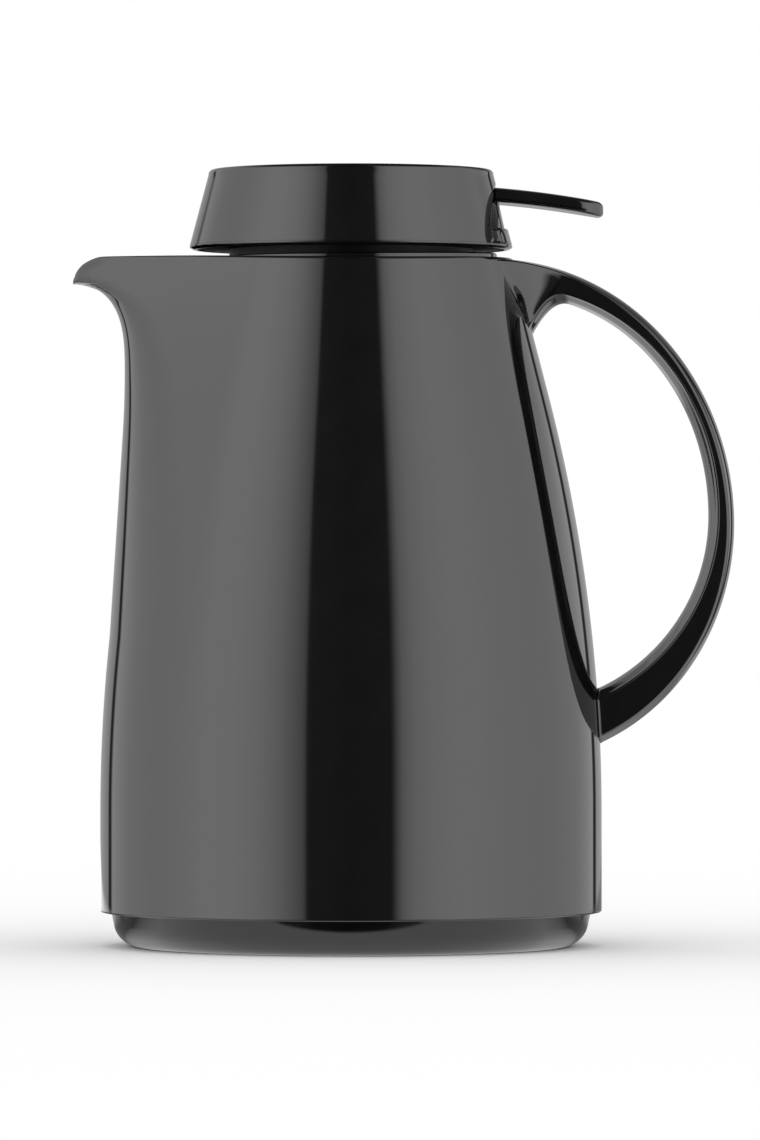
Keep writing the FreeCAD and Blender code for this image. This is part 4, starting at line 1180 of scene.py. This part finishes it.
def floor_ends(tree, x, y, away):
    """Mask of where the gloss sees no floor: in front, far out at the sides, and far behind."""
    before = spread_node(tree, y, *FLOOR_FRONT_EDGE, 1.0, 0.0)
    beyond = spread_node(tree, away, *FLOOR_SIDE_FADE, 0.0, 1.0)
    wide = spread_node(tree, math_node(tree, "ABSOLUTE", x, 0.0), *FLOOR_BACK_HALF_WIDTH, 0.0, 1.0)
    not_behind = math_node(tree, "MAXIMUM", spread_node(tree, y, *FLOOR_BACK_START, 1.0, 0.0), wide)
    beyond = math_node(tree, "MULTIPLY", beyond, not_behind)
    far = math_node(tree, "MAXIMUM", spread_node(tree, away, *FLOOR_BACK_FADE, 0.0, 1.0), beyond)
    return math_node(tree, "MAXIMUM", far, before)


def painted_floor_reflection(tree, x, y, away):
    """Painted brightness of the floor as the gloss sees it, with a painted shadow that is darker where
    the carafe stands.
    """
    # Painted light: the mirrored floor glows brighter beside and behind the carafe and dimmer on the
    # handle side.
    beside = spread_node(tree, y, *BESIDE_LIMITS, *BESIDE_GLOW)
    behind = spread_node(tree, y, *BEHIND_LIMITS, *BEHIND_GLOW)
    spout_side = spread_node(tree, x, *SPOUT_SIDE_LIMITS, *SPOUT_SIDE_SHARE)
    # Painted contact shadow: the mirrored floor's glow is dimmed near the ring.
    painted_contact_shadow = spread_node(tree, away, *PAINTED_CONTACT_SHADOW_LIMITS, *PAINTED_CONTACT_SHADOW_SHARE)
    painted_floor_light = math_node(tree, "ADD", math_node(tree, "MULTIPLY", behind, spout_side), beside)
    return math_node(tree, "MULTIPLY", painted_floor_light, painted_contact_shadow)


def mixed(tree, share, first, second):
    """Shader that goes from the first to the second with a share."""
    node = tree.nodes.new("ShaderNodeMixShader")
    tree.links.new(share, node.inputs[0])
    tree.links.new(first, node.inputs[1])
    tree.links.new(second, node.inputs[2])
    return node.outputs[0]


def make_floor():
    """White table paper that takes the carafe's shadow; in gloss it shows a painted glow with a painted
    contact shadow instead.
    """
    size = FLOOR_HALF_SIZE
    mesh = bpy.data.meshes.new("floor")
    mesh.from_pydata([(-size, -size, 0.0), (size, -size, 0.0), (size, size, 0.0), (-size, size, 0.0)], [],
                     [(0, 1, 2, 3)])
    floor = bpy.data.objects.new("floor", mesh)
    bpy.context.scene.collection.objects.link(floor)
    paper = bpy.data.materials.new("white_table_paper")
    paper.use_nodes = True
    tree = paper.node_tree
    tree.nodes.remove(tree.nodes["Principled BSDF"])
    matt = tree.nodes.new("ShaderNodeBsdfDiffuse")
    matt.inputs["Color"].default_value = (1.0, 1.0, 1.0, 1.0)
    path = tree.nodes.new("ShaderNodeLightPath").outputs
    mirrored = math_node(tree, "MAXIMUM", path["Is Glossy Ray"], path["Is Transmission Ray"])
    position = tree.nodes.new("ShaderNodeNewGeometry").outputs["Position"]
    distance = tree.nodes.new("ShaderNodeVectorMath")
    distance.operation = "LENGTH"
    tree.links.new(position, distance.inputs[0])
    away = distance.outputs["Value"]
    place = split_node(tree, position)
    # Emission seen only in gloss: a painted glow, not a lamp.
    painted_glow = tree.nodes.new("ShaderNodeEmission")
    tree.links.new(painted_floor_reflection(tree, place["X"], place["Y"], away), painted_glow.inputs["Strength"])
    clear = tree.nodes.new("ShaderNodeBsdfTransparent")
    ends = floor_ends(tree, place["X"], place["Y"], away)
    seen_in_gloss = mixed(tree, ends, painted_glow.outputs[0], clear.outputs[0])
    surface = mixed(tree, mirrored, matt.outputs[0], seen_in_gloss)
    tree.links.new(surface, tree.nodes["Material Output"].inputs["Surface"])
    mesh.materials.append(paper)


def soft_boxes(tree, compass):
    """Brightness of the studio by compass angle."""
    ramp = tree.nodes.new("ShaderNodeValToRGB")
    stops = ramp.color_ramp.elements
    for angle, bright in STUDIO[1:-1]:
        stops.new(angle / 360.0 + 0.5)
    for stop, (angle, bright) in zip(stops, STUDIO):
        level = bright / STUDIO_BRIGHTEST
        stop.color = (level, level, level, 1.0)
    tree.links.new(spread_node(tree, compass, -math.pi, math.pi, 0.0, 1.0), ramp.inputs[0])
    return math_node(tree, "MULTIPLY", ramp.outputs["Color"], STUDIO_BRIGHTEST)


def make_studio():
    """White room for the camera; gloss sees two tall soft boxes and the dark side behind the camera."""
    world = bpy.data.worlds.new("studio")
    bpy.context.scene.world = world
    world.use_nodes = True
    tree = world.node_tree
    back = tree.nodes["Background"]
    way = split_node(tree, tree.nodes.new("ShaderNodeTexCoord").outputs["Generated"])
    height = way["Z"]
    compass = math_node(tree, "ARCTAN2", way["X"], math_node(tree, "MULTIPLY", way["Y"], -1.0))
    boxes = soft_boxes(tree, compass)
    strip = math_node(tree, "MULTIPLY", spread_node(tree, compass, *STRIP_LEFT, 0.0, 1.0),
                      spread_node(tree, compass, *STRIP_RIGHT, 1.0, 0.0))
    above_strip = spread_node(tree, height, *STRIP_FILL_HEIGHT, 0.0, STRIP_FILL)
    boxes = math_node(tree, "ADD", boxes, math_node(tree, "MULTIPLY", strip, above_strip))
    below_ceiling = spread_node(tree, height, *CEILING_HEIGHT, 1.0, CEILING_SHARE)
    high = spread_node(tree, height, *HIGH_BEHIND_HEIGHT, 0.0, HIGH_BEHIND_DIMMING)
    behind = spread_node(tree, compass, *HIGH_BEHIND_COMPASS, 0.0, 1.0)
    low = spread_node(tree, height, *LOW_AHEAD_HEIGHT, 0.0, LOW_AHEAD_DIMMING)
    aside = math_node(tree, "ABSOLUTE", compass, 0.0)
    ahead = spread_node(tree, aside, *LOW_AHEAD_COMPASS, 1.0, 0.0)
    dimming = math_node(tree, "ADD", math_node(tree, "MULTIPLY", high, behind),
                        math_node(tree, "MULTIPLY", low, ahead))
    dim = math_node(tree, "SUBTRACT", 1.0, dimming)
    boxes = math_node(tree, "MULTIPLY", boxes, math_node(tree, "MULTIPLY", below_ceiling, dim))
    level = tree.nodes.new("ShaderNodeMix")
    tree.links.new(tree.nodes.new("ShaderNodeLightPath").outputs["Is Glossy Ray"], level.inputs["Factor"])
    level.inputs["A"].default_value = 1.0
    tree.links.new(boxes, level.inputs["B"])
    back.inputs["Color"].default_value = (1.0, 1.0, 1.0, 1.0)
    tree.links.new(level.outputs["Result"], back.inputs["Strength"])


def make_camera():
    """Level long lens at the photographed side."""
    lens = bpy.data.cameras.new("camera")
    lens.sensor_fit = "VERTICAL"
    lens.sensor_height = CAMERA_SENSOR_HEIGHT
    lens.lens = CAMERA_LENS
    camera = bpy.data.objects.new("camera", lens)
    camera.location = CAMERA_PLACE
    camera.rotation_euler = (math.radians(90.0), 0.0, 0.0)
    bpy.context.scene.collection.objects.link(camera)
    bpy.context.scene.camera = camera


make_floor()
make_studio()
make_camera()
bpy.context.scene.view_settings.view_transform = "Standard"
